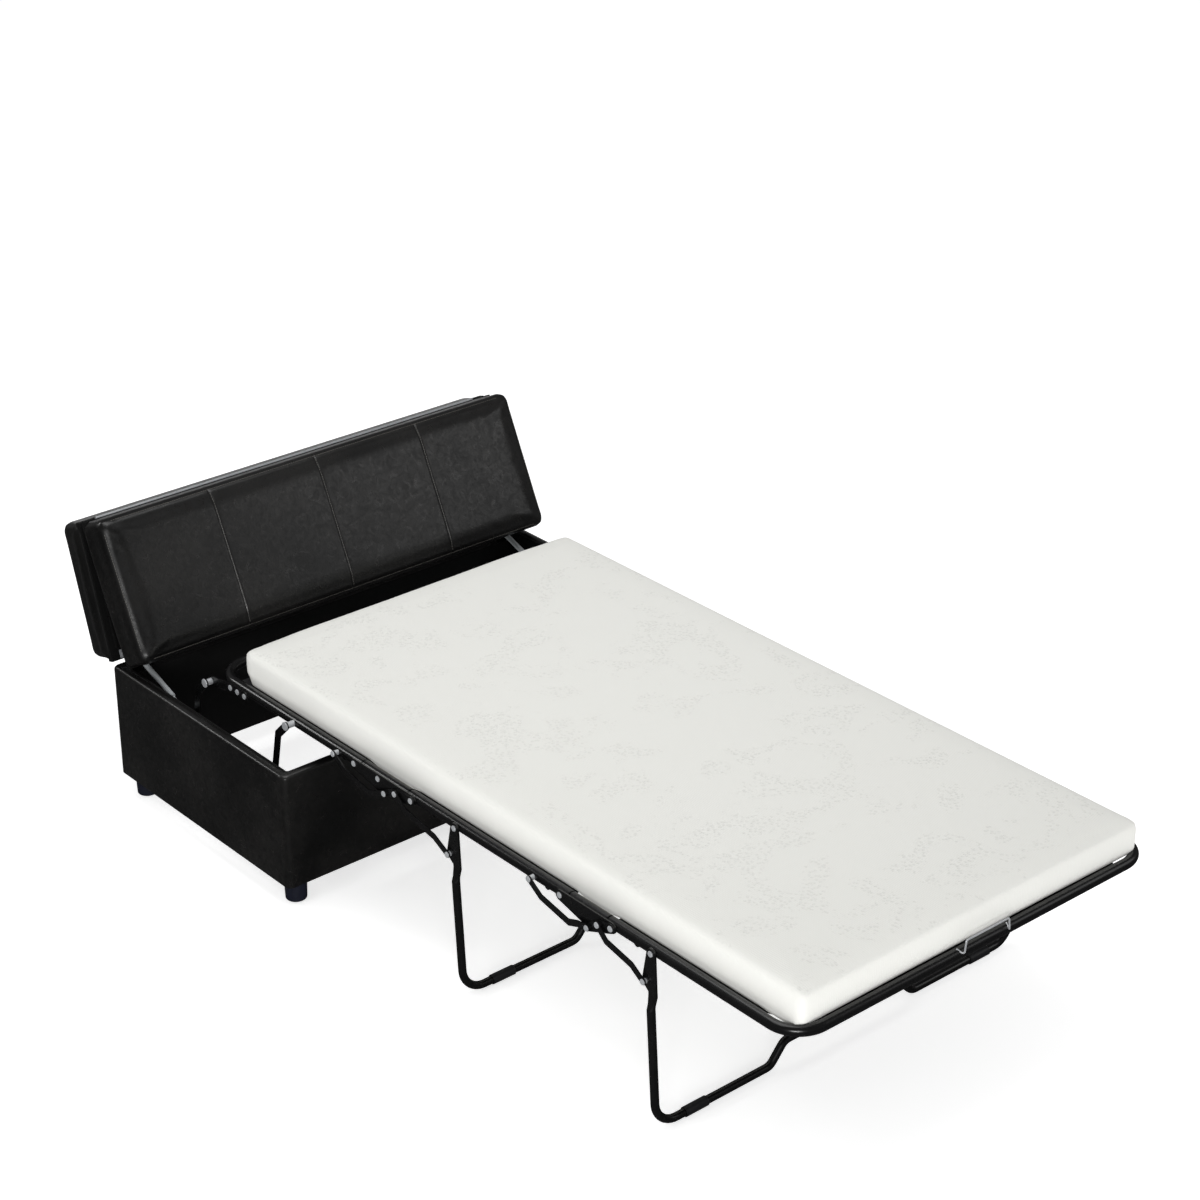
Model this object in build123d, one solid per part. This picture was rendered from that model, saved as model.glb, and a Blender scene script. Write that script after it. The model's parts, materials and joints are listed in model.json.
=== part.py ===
from build123d import *
import math
import os

os.makedirs("parts", exist_ok=True)

# Fold out ottoman guest bed: an upholstered box base with a two panel lid, and a twin bed
# frame that folds out of it over the front wall.
# While modelling, X runs across the bed, the base's front face is at Y 0, the foot of the bed
# lies towards -Y, and the floor is at Z 0. The last step moves the origin to the middle of
# the footprint.

# Mattress: one piece, 39 by 75 inches before its sides bulge, 3.5 inches thick
MATTRESS_WIDTH = 1008.0
MATTRESS_LENGTH = 1931.0
MATTRESS_THICK = 88.0
MATTRESS_CORNER = 62.0
MATTRESS_DRAWN = 7.0
MATTRESS_CROWN = 5.0
MATTRESS_FLAT_SHARE = 0.72
MATTRESS_HEAD_INSET = 67.0
MATTRESS_UNDERCUT = 10.0
MATTRESS_SIDE_SHARES = (0.0, 0.16, 0.3, 0.78, 0.97)

# Bed frame: one inch rails, three sections joined by two pairs of hinges
RAIL_D = 25.4
RAIL_WALL = 1.5
RAIL_SIDE_GAP = 22.0
RAIL_HEIGHT = 427.0
FRAME_REACH = 143.0
HEAD_SECTION = 579.0
MIDDLE_SECTION = 512.0
MATTRESS_FOOT_INSET = 5.0
SPACER_1 = 218.0
SPACER_2 = 167.0
RAIL_STUB = 20.0
TUBE_GAP = 4.0
HEAD_CORNER = 78.0
FOOT_CORNER = 72.0
CROSS_BAR_D = 19.0
CROSS_BAR_INSET = 60.0

# Sheet steel linkage outside the rails
PLATE_THICK = 3.0
RUN_GAP = 0.5
HINGE_PLATE_R = 13.0
HINGE_PLATE_DROP = 19.0
HINGE_PLATE_SHARE = 0.47
HINGE_PAD_SHARES = (0.42, 0.7)
PLATE_RIVETS_1 = 1
PLATE_RIVETS_2 = 0
CRANK_R = 9.5
CRANK_PIVOT_R = 11.5
LINK_WIDTH = 15.6
LINK_STAND_OFF = 3.3
PIN_R = 4.0
PIN_CLEARANCE = 0.05
RIVET_HEAD_R = 7.0
RIVET_HEAD_THICK = 2.3
COLLAR_R = 6.2
SURFACE_GAP = 0.3

# Legs: three quarter inch tube bent to a U with a raised middle
LEG_D = 19.0
LEG_WALL = 1.5
LEG_LEAN = 27.0
LEG_CORNER = 58.0
LEG_RISE = 46.0
LEG_RISE_HALF = 176.0
LEG_RISE_RUN = 44.0
LEG_BEND = 30.0
EAR_THICK = 5.0
EAR_R = 12.5
EAR_TIP_R = 10.5
EAR_LENGTH = 100.0
EAR_TAPER = 30.0
EAR_WIDTH = 24.0
PAD_WALL = 2.2
PAD_LENGTH = 62.0
PAD_INSET = 88.0
LEG_1_PLACE = 155.0
LEG_2_PLACE = 123.0

# Linkage points, each along the rail and up from its own pivot: toward the head is positive
CONTROL_PIVOT_1 = 67.0
CONTROL_PIVOT_2 = 91.0
CRANK_LINK_1 = (92.0, -20.0)
CRANK_LINK_2 = (69.0, -30.0)
CRANK_BRACE_1 = (52.0, -3.5)
CRANK_BRACE_2 = (35.9, -6.2)
LEG_BRACE_1 = (17.0, -72.0)
LEG_BRACE_2 = (15.0, -72.0)
CONTROL_DIP = 44.0
CONTROL_DIP_SHARES = ((0.21, 0.59), (0.69, 1.0), (0.85, 0.75))
BRACE_SAG = 13.0

# Deck and foot wire
DECK_THICK = 3.0
DECK_EDGE_GAP = 3.0
WIRE_D = 4.0
WIRE_HALF = 68.0
WIRE_STAND_OFF = 1.5
WIRE_LOW = 4.0
WIRE_RISE = 33.0
WIRE_SPLAY = 7.0
WIRE_TAPER = 4.0
WIRE_BEND = 5.0

# Upholstered base
BASE_SIDE_ROOM = 74.3
BASE_DEPTH = 740.0
BASE_TOP = 359.0
FOOT_HEIGHT = 60.0
COVER_THICK = 3.0
BOARD_THICK = 22.0
BASE_CORNER = 16.0
BLOCK_SIDE = 56.0
BLOCK_HEIGHT = 110.0
FOOT_TOP_R = 28.0
FOOT_BASE_R = 26.0
FOOT_INSET = 44.0
FOOT_LIP = 4.0

# Lid: two upholstered panels, hinged to the base and to each other
LID_SIDE_INSET = 4.0
LID_BOARD = 18.0
LID_CUSHION = 85.0
REAR_LID_SHARE = 0.487
LID_GAP = 1.0
LID_OPEN = 107.0
LID_REST = 12.0
LID_FRONT_INSET = 2.0
CUSHION_PANELS = 4
CUSHION_CROWN = 4.0
CUSHION_SEAM = 1.5
CUSHION_DRAWN = 4.0
CUSHION_SIDE_BULGE = 3.0
CUSHION_SECTION_SHARES = ((0.0, 1.0), (0.1, 0.25), (0.5, 0.0), (0.9, 0.25), (1.0, 1.0))
HINGE_BARREL_R = 4.0
HINGE_LEAF = 24.0
HINGE_LEAF_THICK = 1.2
HINGE_PIN_R = 1.5
HINGE_PIN_CLEARANCE = 0.08
HINGE_KNUCKLES = 15
HINGE_END_INSET = 44.0
HINGE_KNUCKLE_GAP = 0.4

# Lift linkage between the base and the head section
LIFT_LINK = 190.0
LIFT_LEAN = 28.0
LIFT_FRONT = 102.0
LIFT_REAR = 442.0
LIFT_REAR_DROP = 24.0
LIFT_RIVET_DROP = 9.0
LIFT_THICK = 4.0
LIFT_STAND_OFF = 19.3
LIFT_WIDTH = 20.0
LIFT_SWAY = 14.0
LIFT_PIN_R = 5.0
LIFT_BOSS_R = 11.0
LIFT_PLATE_HALF = 30.0
LIFT_PLATE_END = 38.0
LIFT_PLATE_REACH = 143.0
LIFT_COLLAR_R = 8.0

# Gas springs between the base and the rear lid
GAS_INSET = 37.0
GAS_BASE_BACK = 220.0
GAS_BASE_DROP = 55.0
GAS_LID_ALONG = 17.0
GAS_LID_DROP = 12.0
GAS_CYLINDER_R = 7.0
GAS_CYLINDER_START = 50.0
GAS_CYLINDER_CHAMFER = 1.5
GAS_ROD_R = 3.0
GAS_ROD_CLEARANCE = 0.08
GAS_BORE_FLOOR = 16.0
GAS_ROD_SPARE = 30.0
GAS_EYE_R = 6.5
GAS_EYE_THICK = 8.0
GAS_STUD_R = 3.0
GAS_LUG = 3.0
GAS_LUG_HALF = 13.0
GAS_NOTCH_DEPTH = 28.0
GAS_NOTCH_HALF = 14.0

RAIL_X = MATTRESS_WIDTH / 2 + RAIL_SIDE_GAP
RAIL_R = RAIL_D / 2
RAIL_FACE = RAIL_X + RAIL_R
PLATE_X = RAIL_FACE + RUN_GAP
CRANK_X = PLATE_X + PLATE_THICK + RUN_GAP
LINK_X = CRANK_X + PLATE_THICK + LINK_STAND_OFF
HINGE_1A = -FRAME_REACH
HINGE_1B = HINGE_1A - SPACER_1
HINGE_2A = HINGE_1B - MIDDLE_SECTION
HINGE_2B = HINGE_2A - SPACER_2
HEAD_Y = HINGE_1A + HEAD_SECTION
FOOT_Y = HEAD_Y - MATTRESS_HEAD_INSET - MATTRESS_LENGTH - MATTRESS_FOOT_INSET
DECK_TOP = RAIL_HEIGHT
DECK_Z = DECK_TOP - DECK_THICK / 2
CROSS_BAR_Z = DECK_TOP - DECK_THICK - SURFACE_GAP - CROSS_BAR_D / 2
LIFT_PLANE = RAIL_FACE + LIFT_STAND_OFF
WALL_FACE = RAIL_FACE + BASE_SIDE_ROOM
BASE_WIDTH = 2 * (WALL_FACE + BOARD_THICK + COVER_THICK)
LID_WIDTH = BASE_WIDTH - 2 * LID_SIDE_INSET
HINGE_LENGTH = LID_WIDTH - 2 * HINGE_END_INSET
GAS_PLANE = WALL_FACE - GAS_INSET
GAS_BASE_Y = BASE_DEPTH - GAS_BASE_BACK
GAS_BASE_Z = BASE_TOP - GAS_BASE_DROP
LID_LENGTH = BASE_DEPTH - LID_FRONT_INSET
REAR_LID = LID_LENGTH * REAR_LID_SHARE
LID_AXIS = (BASE_DEPTH + HINGE_BARREL_R + HINGE_LEAF_THICK, BASE_TOP)
FOLD_AXIS = (BASE_DEPTH - REAR_LID, BASE_TOP - HINGE_BARREL_R - HINGE_LEAF_THICK)
BOTH_SIDES = (1, -1)
OVERRUN = 1.0


def turned(point, centre, degrees):
    """A (y, z) point turned about a (y, z) centre, from +Y towards +Z."""
    angle = math.radians(degrees)
    dy = point[0] - centre[0]
    dz = point[1] - centre[1]
    return (
        centre[0] + dy * math.cos(angle) - dz * math.sin(angle),
        centre[1] + dy * math.sin(angle) + dz * math.cos(angle),
    )


def lid_fold():
    """How far the front panel is folded under, until its hinge stops it above the base."""
    axis = turned(FOLD_AXIS, LID_AXIS, -LID_OPEN)
    dy = LID_FRONT_INSET - FOLD_AXIS[0]
    dz = BASE_TOP - FOLD_AXIS[1]
    drop = axis[1] - BASE_TOP - LID_REST
    rest = 180 + math.degrees(math.asin(drop / math.hypot(dy, dz)))
    return rest - math.degrees(math.atan2(dz, dy)) + LID_OPEN


LID_FOLD = lid_fold()


def open_rear(shape):
    """Turns a shape drawn with the lid shut to where the rear panel stands open."""
    axis = Axis((0, LID_AXIS[0], LID_AXIS[1]), (1, 0, 0))
    return shape.rotate(axis, -LID_OPEN)


def open_front(shape):
    """Turns a shape drawn with the lid shut to where the front panel hangs folded."""
    axis = Axis((0, FOLD_AXIS[0], FOLD_AXIS[1]), (1, 0, 0))
    return open_rear(shape.rotate(axis, LID_FOLD))


def mirrored(shape):
    return mirror(shape, about=Plane.YZ)


def both(shape):
    """A piece on the +X side and its mirror image."""
    return [shape, mirrored(shape)]


def solid(shape):
    """The single solid of a boolean result."""
    found = shape.solids()
    if len(found) != 1:
        raise ValueError("expected one solid, found " + str(len(found)))
    return found[0]


def rod_x(x_start, x_end, y, z, radius):
    """A round bar along X."""
    place = Pos((x_start + x_end) / 2, y, z)
    return place * Rot(0, 90, 0) * Cylinder(radius, x_end - x_start)


def rod_y(x, y_start, y_end, z, radius):
    """A round bar along Y."""
    place = Pos(x, (y_start + y_end) / 2, z)
    return place * Rot(90, 0, 0) * Cylinder(radius, y_end - y_start)


def box(x0, x1, y0, y1, z0, z1):
    place = Pos((x0 + x1) / 2, (y0 + y1) / 2, (z0 + z1) / 2)
    return place * Box(x1 - x0, y1 - y0, z1 - z0)


def tube(path, radius, wall):
    """A hollow tube along a path of lines and arcs."""
    start = Plane(origin=path @ 0, z_dir=path % 0)
    outer = sweep(sections=start * Circle(radius), path=path)
    inner = sweep(sections=start * Circle(radius - wall), path=path)
    return outer - inner


def straight_tube(x, y_start, y_end, z, radius, wall):
    outer = rod_y(x, y_start, y_end, z, radius)
    return outer - rod_y(x, y_start - OVERRUN, y_end + OVERRUN, z, radius - wall)


def plate(x_start, thick, points, radii):
    """A sheet steel plate: the outline round circles at (y, z) points, joined in a ring."""
    outline = Sketch()
    for (y, z), radius in zip(points, radii):
        outline += Pos(y, z) * Circle(radius)
    outline = make_hull(outline.edges())
    return solid(extrude(Plane.YZ.offset(x_start) * outline, thick))


def strip(x_start, thick, points, width):
    """A flat steel strip through (y, z) points, with round ends and bends."""
    outline = Sketch()
    for first, second in zip(points, points[1:]):
        ends = Pos(*first) * Circle(width / 2) + Pos(*second) * Circle(width / 2)
        outline += make_hull(ends.edges())
    return solid(extrude(Plane.YZ.offset(x_start) * outline, thick))


def drilled(shape, points, radius):
    """A piece with round holes along X at (y, z) points."""
    reach = BASE_WIDTH / 2
    for y, z in points:
        shape = shape - rod_x(-reach, reach, y, z, radius)
    return shape


def at_pivot(pivot_y, offset):
    return (pivot_y + offset[0], RAIL_HEIGHT + offset[1])


def rivet(x_start, x_head, y, z, radius=PIN_R, head_r=RIVET_HEAD_R):
    """A rivet along X whose outer head starts at x_head."""
    shank = rod_x(x_start, x_head + RIVET_HEAD_THICK, y, z, radius)
    head = rod_x(x_head, x_head + RIVET_HEAD_THICK, y, z, head_r)
    rim = head.edges().filter_by(GeomType.CIRCLE).sort_by(Axis.X)[-1]
    return solid(shank + fillet(rim, RIVET_HEAD_THICK * 0.6))


def stud(x_start, x_face, x_head, y, z, radius=PIN_R, collar_r=COLLAR_R, head_r=RIVET_HEAD_R):
    """A shouldered stud: a collar up to x_face, a running shank and a head at x_head."""
    collar = rod_x(x_start, x_face, y, z, collar_r)
    return solid(collar + rivet(x_start, x_head, y, z, radius, head_r))


def base_cover():
    height = BASE_TOP - FOOT_HEIGHT
    outer = extrude(RectangleRounded(BASE_WIDTH, BASE_DEPTH, BASE_CORNER), height)
    width = BASE_WIDTH - 2 * COVER_THICK
    depth = BASE_DEPTH - 2 * COVER_THICK
    inner = extrude(RectangleRounded(width, depth, BASE_CORNER - COVER_THICK), height)
    place = Pos(0, BASE_DEPTH / 2, FOOT_HEIGHT)
    return [solid(place * (outer - inner))]


def end_boards():
    """Front and back boards; the back one is notched for the gas springs' brackets."""
    y = COVER_THICK
    front = box(-WALL_FACE, WALL_FACE, y, y + BOARD_THICK, FOOT_HEIGHT, BASE_TOP)
    y = BASE_DEPTH - COVER_THICK
    back = box(-WALL_FACE, WALL_FACE, y - BOARD_THICK, y, FOOT_HEIGHT, BASE_TOP)
    low = BASE_TOP - GAS_NOTCH_DEPTH
    notch = box(GAS_PLANE - GAS_NOTCH_HALF, WALL_FACE, y - BOARD_THICK, y, low, BASE_TOP)
    return front, solid(back - notch - mirrored(notch))


def side_boards():
    x = BASE_WIDTH / 2 - COVER_THICK
    y0 = COVER_THICK
    y1 = BASE_DEPTH - COVER_THICK
    board = box(x - BOARD_THICK, x, y0, y1, FOOT_HEIGHT, BASE_TOP)
    outer = board.edges().filter_by(Axis.Z).group_by(Axis.X)[-1]
    return both(solid(fillet(outer, BASE_CORNER - COVER_THICK)))


def four_corners(shape):
    """A piece at the front right corner and its copies at the other three."""
    middle = Plane.XZ.offset(-BASE_DEPTH / 2)
    return both(shape) + both(mirror(shape, about=middle))


def corner_blocks():
    y = COVER_THICK + BOARD_THICK
    top = FOOT_HEIGHT + BLOCK_HEIGHT
    block = box(WALL_FACE - BLOCK_SIDE, WALL_FACE, y, y + BLOCK_SIDE, FOOT_HEIGHT, top)
    inner = block.edges().filter_by(Axis.Z).sort_by(lambda e: e.center().X - e.center().Y)[0]
    return four_corners(solid(chamfer(inner, BLOCK_SIDE / 3)))


def base_feet():
    foot = Cone(FOOT_BASE_R, FOOT_TOP_R, FOOT_HEIGHT)
    foot = fillet(foot.edges().sort_by(Axis.Z)[0], FOOT_LIP)
    place = Pos(BASE_WIDTH / 2 - FOOT_INSET, FOOT_INSET, FOOT_HEIGHT / 2)
    return four_corners(solid(place * foot))


def knuckled_leaf(axis, leaf, first):
    """A piano hinge leaf with every second knuckle of the barrel, along X."""
    barrel = rod_x(-HINGE_LENGTH / 2, HINGE_LENGTH / 2, axis[0], axis[1], HINGE_BARREL_R)
    pitch = HINGE_LENGTH / HINGE_KNUCKLES
    near = HINGE_BARREL_R + HINGE_LEAF_THICK + OVERRUN
    piece = leaf + barrel
    for index in range(HINGE_KNUCKLES):
        if index % 2 == first:
            continue
        x0 = -HINGE_LENGTH / 2 + index * pitch - HINGE_KNUCKLE_GAP
        x1 = x0 + pitch + 2 * HINGE_KNUCKLE_GAP
        cut = box(x0, x1, axis[0] - near, axis[0] + near, axis[1] - near, axis[1] + near)
        piece = piece - cut
    hole = HINGE_PIN_R + HINGE_PIN_CLEARANCE
    reach = HINGE_LENGTH / 2 + OVERRUN
    return solid(piece - rod_x(-reach, reach, axis[0], axis[1], hole))


def hinge_pin(axis):
    return rod_x(-HINGE_LENGTH / 2, HINGE_LENGTH / 2, axis[0], axis[1], HINGE_PIN_R)


def base_hinge_leaves():
    """The leaf on the back of the base and the one on the back edge of the rear panel."""
    y, z = LID_AXIS
    face = BASE_DEPTH
    half = HINGE_LENGTH / 2
    reach = HINGE_LEAF + HINGE_BARREL_R
    outer = HINGE_BARREL_R - SURFACE_GAP
    inner = outer - HINGE_LEAF_THICK
    leaf = face + HINGE_LEAF_THICK
    lower = box(-half, half, face, leaf, z - reach, z - inner)
    upper = box(-half, half, face, leaf, z + inner, z + reach)
    bridge_low = box(-half, half, face, y, z - outer, z - inner)
    bridge_high = box(-half, half, face, y, z + inner, z + outer)
    fixed = knuckled_leaf(LID_AXIS, lower + bridge_low, 0)
    moving = knuckled_leaf(LID_AXIS, upper + bridge_high, 1)
    return fixed, moving


def fold_hinge_leaves():
    """The leaves under the rear and the front panel."""
    y, z = FOLD_AXIS
    half = HINGE_LENGTH / 2
    reach = HINGE_LEAF + HINGE_BARREL_R
    outer = HINGE_BARREL_R - SURFACE_GAP
    inner = outer - HINGE_LEAF_THICK
    leaf = BASE_TOP - HINGE_LEAF_THICK
    rear = box(-half, half, y + inner, y + reach, leaf, BASE_TOP)
    front = box(-half, half, y - reach, y - inner, leaf, BASE_TOP)
    bridge_rear = box(-half, half, y + inner, y + outer, z, BASE_TOP)
    bridge_front = box(-half, half, y - outer, y - inner, z, BASE_TOP)
    return (
        knuckled_leaf(FOLD_AXIS, rear + bridge_rear, 0),
        knuckled_leaf(FOLD_AXIS, front + bridge_front, 1),
    )


def lid_board(y0, y1):
    half = LID_WIDTH / 2
    return box(-half, half, y0, y1, BASE_TOP, BASE_TOP + LID_BOARD)


def cushion_section(y, drawn):
    """One cross section of a lid cushion: straight underside, bulged sides, crowned panels."""
    half = LID_WIDTH / 2 - CUSHION_SIDE_BULGE - drawn * CUSHION_DRAWN
    low = BASE_TOP + LID_BOARD
    high = low + LID_CUSHION - CUSHION_CROWN - drawn * CUSHION_DRAWN
    seam = high - CUSHION_SEAM
    crown = high + CUSHION_CROWN * (1 - drawn)
    side = half + CUSHION_SIDE_BULGE
    middle = (low + high) / 2
    pitch = 2 * half / CUSHION_PANELS
    edges = [Line((-half, low), (half, low))]
    edges.append(ThreePointArc((half, low), (side, middle), (half, seam)))
    for index in range(CUSHION_PANELS):
        right = half - index * pitch
        edges.append(ThreePointArc((right, seam), (right - pitch / 2, crown), (right - pitch, seam)))
    edges.append(ThreePointArc((-half, seam), (-side, middle), (-half, low)))
    face = make_face(Wire(edges))
    return Plane(origin=(0, y, 0), x_dir=(1, 0, 0), z_dir=(0, -1, 0)) * face


def lid_cushion(y0, y1):
    sections = [cushion_section(y0 + share * (y1 - y0), drawn) for share, drawn in CUSHION_SECTION_SHARES]
    return solid(loft(sections))


def rear_panel():
    return FOLD_AXIS[0] + LID_GAP, BASE_DEPTH


def front_panel():
    return LID_FRONT_INSET, FOLD_AXIS[0] - LID_GAP


def lift_foot(top):
    """The lower pivot of a lift link whose upper pivot is at (y, z) top."""
    lean = math.radians(LIFT_LEAN)
    return (top[0] + LIFT_LINK * math.sin(lean), top[1] - LIFT_LINK * math.cos(lean))


def lift_points(top):
    """A link's centre line, swayed to an S between its two pivots."""
    foot = lift_foot(top)
    along = ((foot[0] - top[0]) / LIFT_LINK, (foot[1] - top[1]) / LIFT_LINK)
    aside = (-along[1], along[0])
    points = [top]
    for share, sway in ((0.25, 1), (0.5, 0), (0.75, -1)):
        y = top[0] + share * LIFT_LINK * along[0] + sway * LIFT_SWAY * aside[0]
        z = top[1] + share * LIFT_LINK * along[1] + sway * LIFT_SWAY * aside[1]
        points.append((y, z))
    return points + [foot]


LIFT_TOP_FRONT = (LIFT_FRONT, RAIL_HEIGHT)
LIFT_TOP_REAR = (LIFT_REAR, RAIL_HEIGHT - LIFT_REAR_DROP)
LIFT_IN = LIFT_PLANE - LIFT_THICK / 2
LIFT_OUT = LIFT_PLANE + LIFT_THICK / 2


def lift_link(top):
    link = strip(LIFT_IN, LIFT_THICK, lift_points(top), LIFT_WIDTH)
    return both(solid(drilled(link, [top, lift_foot(top)], LIFT_PIN_R + PIN_CLEARANCE)))


def lift_brackets():
    """A plate on each side board with the two fixed pivots of the lift links."""
    front = lift_foot(LIFT_TOP_FRONT)
    rear = lift_foot(LIFT_TOP_REAR)
    x = WALL_FACE - PLATE_THICK
    y0 = front[0] - LIFT_PLATE_END
    y1 = rear[0] + LIFT_PLATE_END
    z0 = rear[1] - LIFT_PLATE_HALF
    z1 = front[1] + LIFT_PLATE_HALF
    piece = box(x, WALL_FACE, y0, y1, z0, z1)
    for y, z in (front, rear):
        boss = rod_x(LIFT_OUT + RUN_GAP, x, y, z, LIFT_BOSS_R)
        shank = rod_x(LIFT_IN - RUN_GAP - RIVET_HEAD_THICK, x, y, z, LIFT_PIN_R)
        head = rod_x(LIFT_IN - RUN_GAP - RIVET_HEAD_THICK, LIFT_IN - RUN_GAP, y, z, LIFT_BOSS_R)
        piece = piece + boss + shank + head
    return both(solid(piece))


def lift_plates():
    """The plates that carry the rear lift pivots, riveted along the head section's rails."""
    y, z = LIFT_TOP_REAR
    start = (y - LIFT_PLATE_REACH, RAIL_HEIGHT - LIFT_RIVET_DROP)
    middle = (HEAD_Y - HEAD_CORNER, RAIL_HEIGHT - LIFT_RIVET_DROP)
    piece = strip(RAIL_FACE, PLATE_THICK, [start, middle, (y, z)], RAIL_D)
    holes = lift_plate_rivets() + [LIFT_TOP_REAR]
    return both(solid(drilled(piece, holes, PIN_R)))


def lift_plate_rivets():
    y, z = LIFT_TOP_REAR
    height = RAIL_HEIGHT - LIFT_RIVET_DROP
    first = y - LIFT_PLATE_REACH
    last = HEAD_Y - HEAD_CORNER
    return [(first, height), ((first + last) / 2, height), (last, height)]


def head_studs():
    """Studs for the front lift links and control links, and the rivets of the lift plates."""
    y, z = LIFT_TOP_FRONT
    head = LIFT_OUT + RUN_GAP
    face = LIFT_IN - RUN_GAP
    front = stud(RAIL_X, face, head, y, z, LIFT_PIN_R, LIFT_COLLAR_R, LIFT_BOSS_R)
    y, z = LIFT_TOP_REAR
    start = RAIL_FACE + PLATE_THICK
    rear = stud(start, face, head, y, z, LIFT_PIN_R, LIFT_COLLAR_R, LIFT_BOSS_R)
    tail = rod_x(RAIL_FACE, start, y, z, PIN_R)
    pieces = both(front) + both(solid(rear + tail))
    for y, z in lift_plate_rivets():
        pieces += both(rivet(RAIL_X, RAIL_FACE + PLATE_THICK, y, z))
    return pieces + control_studs(HINGE_1A + CONTROL_PIVOT_1)


def control_studs(y):
    face = LINK_X - SURFACE_GAP
    return both(stud(RAIL_X, face, LINK_X + PLATE_THICK + SURFACE_GAP, y, RAIL_HEIGHT))


def leg_studs(y):
    """The pivots that a leg's two ears turn on."""
    return both(rivet(RAIL_X, PLATE_X + EAR_THICK + SURFACE_GAP, y, RAIL_HEIGHT))


def outer_wall_only(tubes, places):
    """Drills the outer walls at (y, z, radius) places and leaves the inner walls whole."""
    for y, z, radius in places:
        for side in BOTH_SIDES:
            x0 = min(side * RAIL_X, side * (RAIL_FACE + OVERRUN))
            tubes = tubes - rod_x(x0, x0 + RAIL_R + OVERRUN, y, z, radius)
    return tubes


def u_loop(open_y, end_y, corner):
    """A bed section bent from one tube: two rails joined round the end."""
    start = (RAIL_X, open_y, RAIL_HEIGHT)
    ends = [(RAIL_X, end_y, RAIL_HEIGHT), (-RAIL_X, end_y, RAIL_HEIGHT)]
    points = [start, *ends, (-RAIL_X, open_y, RAIL_HEIGHT)]
    return tube(FilletPolyline(*points, radius=corner), RAIL_R, RAIL_WALL)


def head_loop():
    loop = u_loop(HINGE_1A - RAIL_STUB, HEAD_Y, HEAD_CORNER)
    places = [(y, z, PIN_R) for y, z in lift_plate_rivets()]
    places.append((LIFT_FRONT, RAIL_HEIGHT, LIFT_COLLAR_R))
    places.append((HINGE_1A + CONTROL_PIVOT_1, RAIL_HEIGHT, COLLAR_R))
    loop = outer_wall_only(loop, places)
    return [solid(drilled(loop, [(HINGE_1A, RAIL_HEIGHT)], PIN_R + PIN_CLEARANCE))]


def middle_rails():
    start = HINGE_2A - RAIL_STUB
    end = HINGE_1B + RAIL_STUB
    rail = straight_tube(RAIL_X, start, end, RAIL_HEIGHT, RAIL_R, RAIL_WALL)
    places = [(HINGE_1B - LEG_1_PLACE, RAIL_HEIGHT, PIN_R)]
    places.append((HINGE_2A + CONTROL_PIVOT_2, RAIL_HEIGHT, COLLAR_R))
    rail = outer_wall_only(rail, places)
    pins = [(HINGE_1B, RAIL_HEIGHT), (HINGE_2A, RAIL_HEIGHT)]
    return both(solid(drilled(rail, pins, PIN_R + PIN_CLEARANCE)))


def foot_loop():
    loop = u_loop(HINGE_2B + RAIL_STUB, FOOT_Y, FOOT_CORNER)
    loop = outer_wall_only(loop, [(HINGE_2B - LEG_2_PLACE, RAIL_HEIGHT, PIN_R)])
    return [solid(drilled(loop, [(HINGE_2B, RAIL_HEIGHT)], PIN_R + PIN_CLEARANCE))]


def cross_bar(y):
    """A tube under the deck, coped to the two rails."""
    bar = rod_x(-RAIL_X, RAIL_X, y, CROSS_BAR_Z, CROSS_BAR_D / 2)
    bore = rod_x(-RAIL_X, RAIL_X, y, CROSS_BAR_Z, CROSS_BAR_D / 2 - RAIL_WALL)
    bar = bar - bore
    for side in BOTH_SIDES:
        reach = CROSS_BAR_D
        bar = bar - rod_y(side * RAIL_X, y - reach, y + reach, RAIL_HEIGHT, RAIL_R)
    return max(bar.solids(), key=lambda s: s.volume)


def deck(y0, y1):
    half = RAIL_X - RAIL_R - SURFACE_GAP
    return box(-half, half, y0, y1, DECK_TOP - DECK_THICK, DECK_TOP)


def foot_deck():
    start = HINGE_2B + RAIL_STUB - DECK_EDGE_GAP
    bend = FOOT_Y + FOOT_CORNER
    wide = deck(bend, start)
    narrow = RAIL_X - FOOT_CORNER
    end = FOOT_Y + RAIL_R + SURFACE_GAP
    tongue = box(-narrow, narrow, end, bend, DECK_TOP - DECK_THICK, DECK_TOP)
    return [solid(wide + tongue)]


def foot_wire():
    """The wire on the foot tube that stops the mattress: down from the tube's top, then up."""
    radius = WIRE_D / 2
    seat = RAIL_HEIGHT + RAIL_R
    low = RAIL_HEIGHT + WIRE_LOW
    high = low + WIRE_RISE
    out = FOOT_Y - RAIL_R - radius - WIRE_STAND_OFF
    outer = WIRE_HALF + WIRE_SPLAY
    inner = WIRE_HALF - WIRE_TAPER
    points = [
        (-outer, FOOT_Y, seat),
        (-WIRE_HALF, out, low),
        (-inner, out, high),
        (inner, out, high),
        (WIRE_HALF, out, low),
        (outer, FOOT_Y, seat),
    ]
    path = FilletPolyline(*points, radius=WIRE_BEND)
    start = Plane(origin=path @ 0, z_dir=path % 0)
    wire = sweep(sections=start * Circle(radius), path=path)
    reach = outer + WIRE_D
    loop = rod_x(-reach, reach, FOOT_Y, RAIL_HEIGHT, RAIL_R)
    return [max((wire - loop).solids(), key=lambda s: s.volume)]


def spacer_tubes(near, far, rivets):
    """The short rails between two hinges."""
    start = far + RAIL_STUB + TUBE_GAP
    end = near - RAIL_STUB - TUBE_GAP
    piece = straight_tube(RAIL_X, start, end, RAIL_HEIGHT, RAIL_R, RAIL_WALL)
    piece = outer_wall_only(piece, [(y, z, PIN_R) for y, z in rivets])
    return both(solid(piece))


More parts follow.
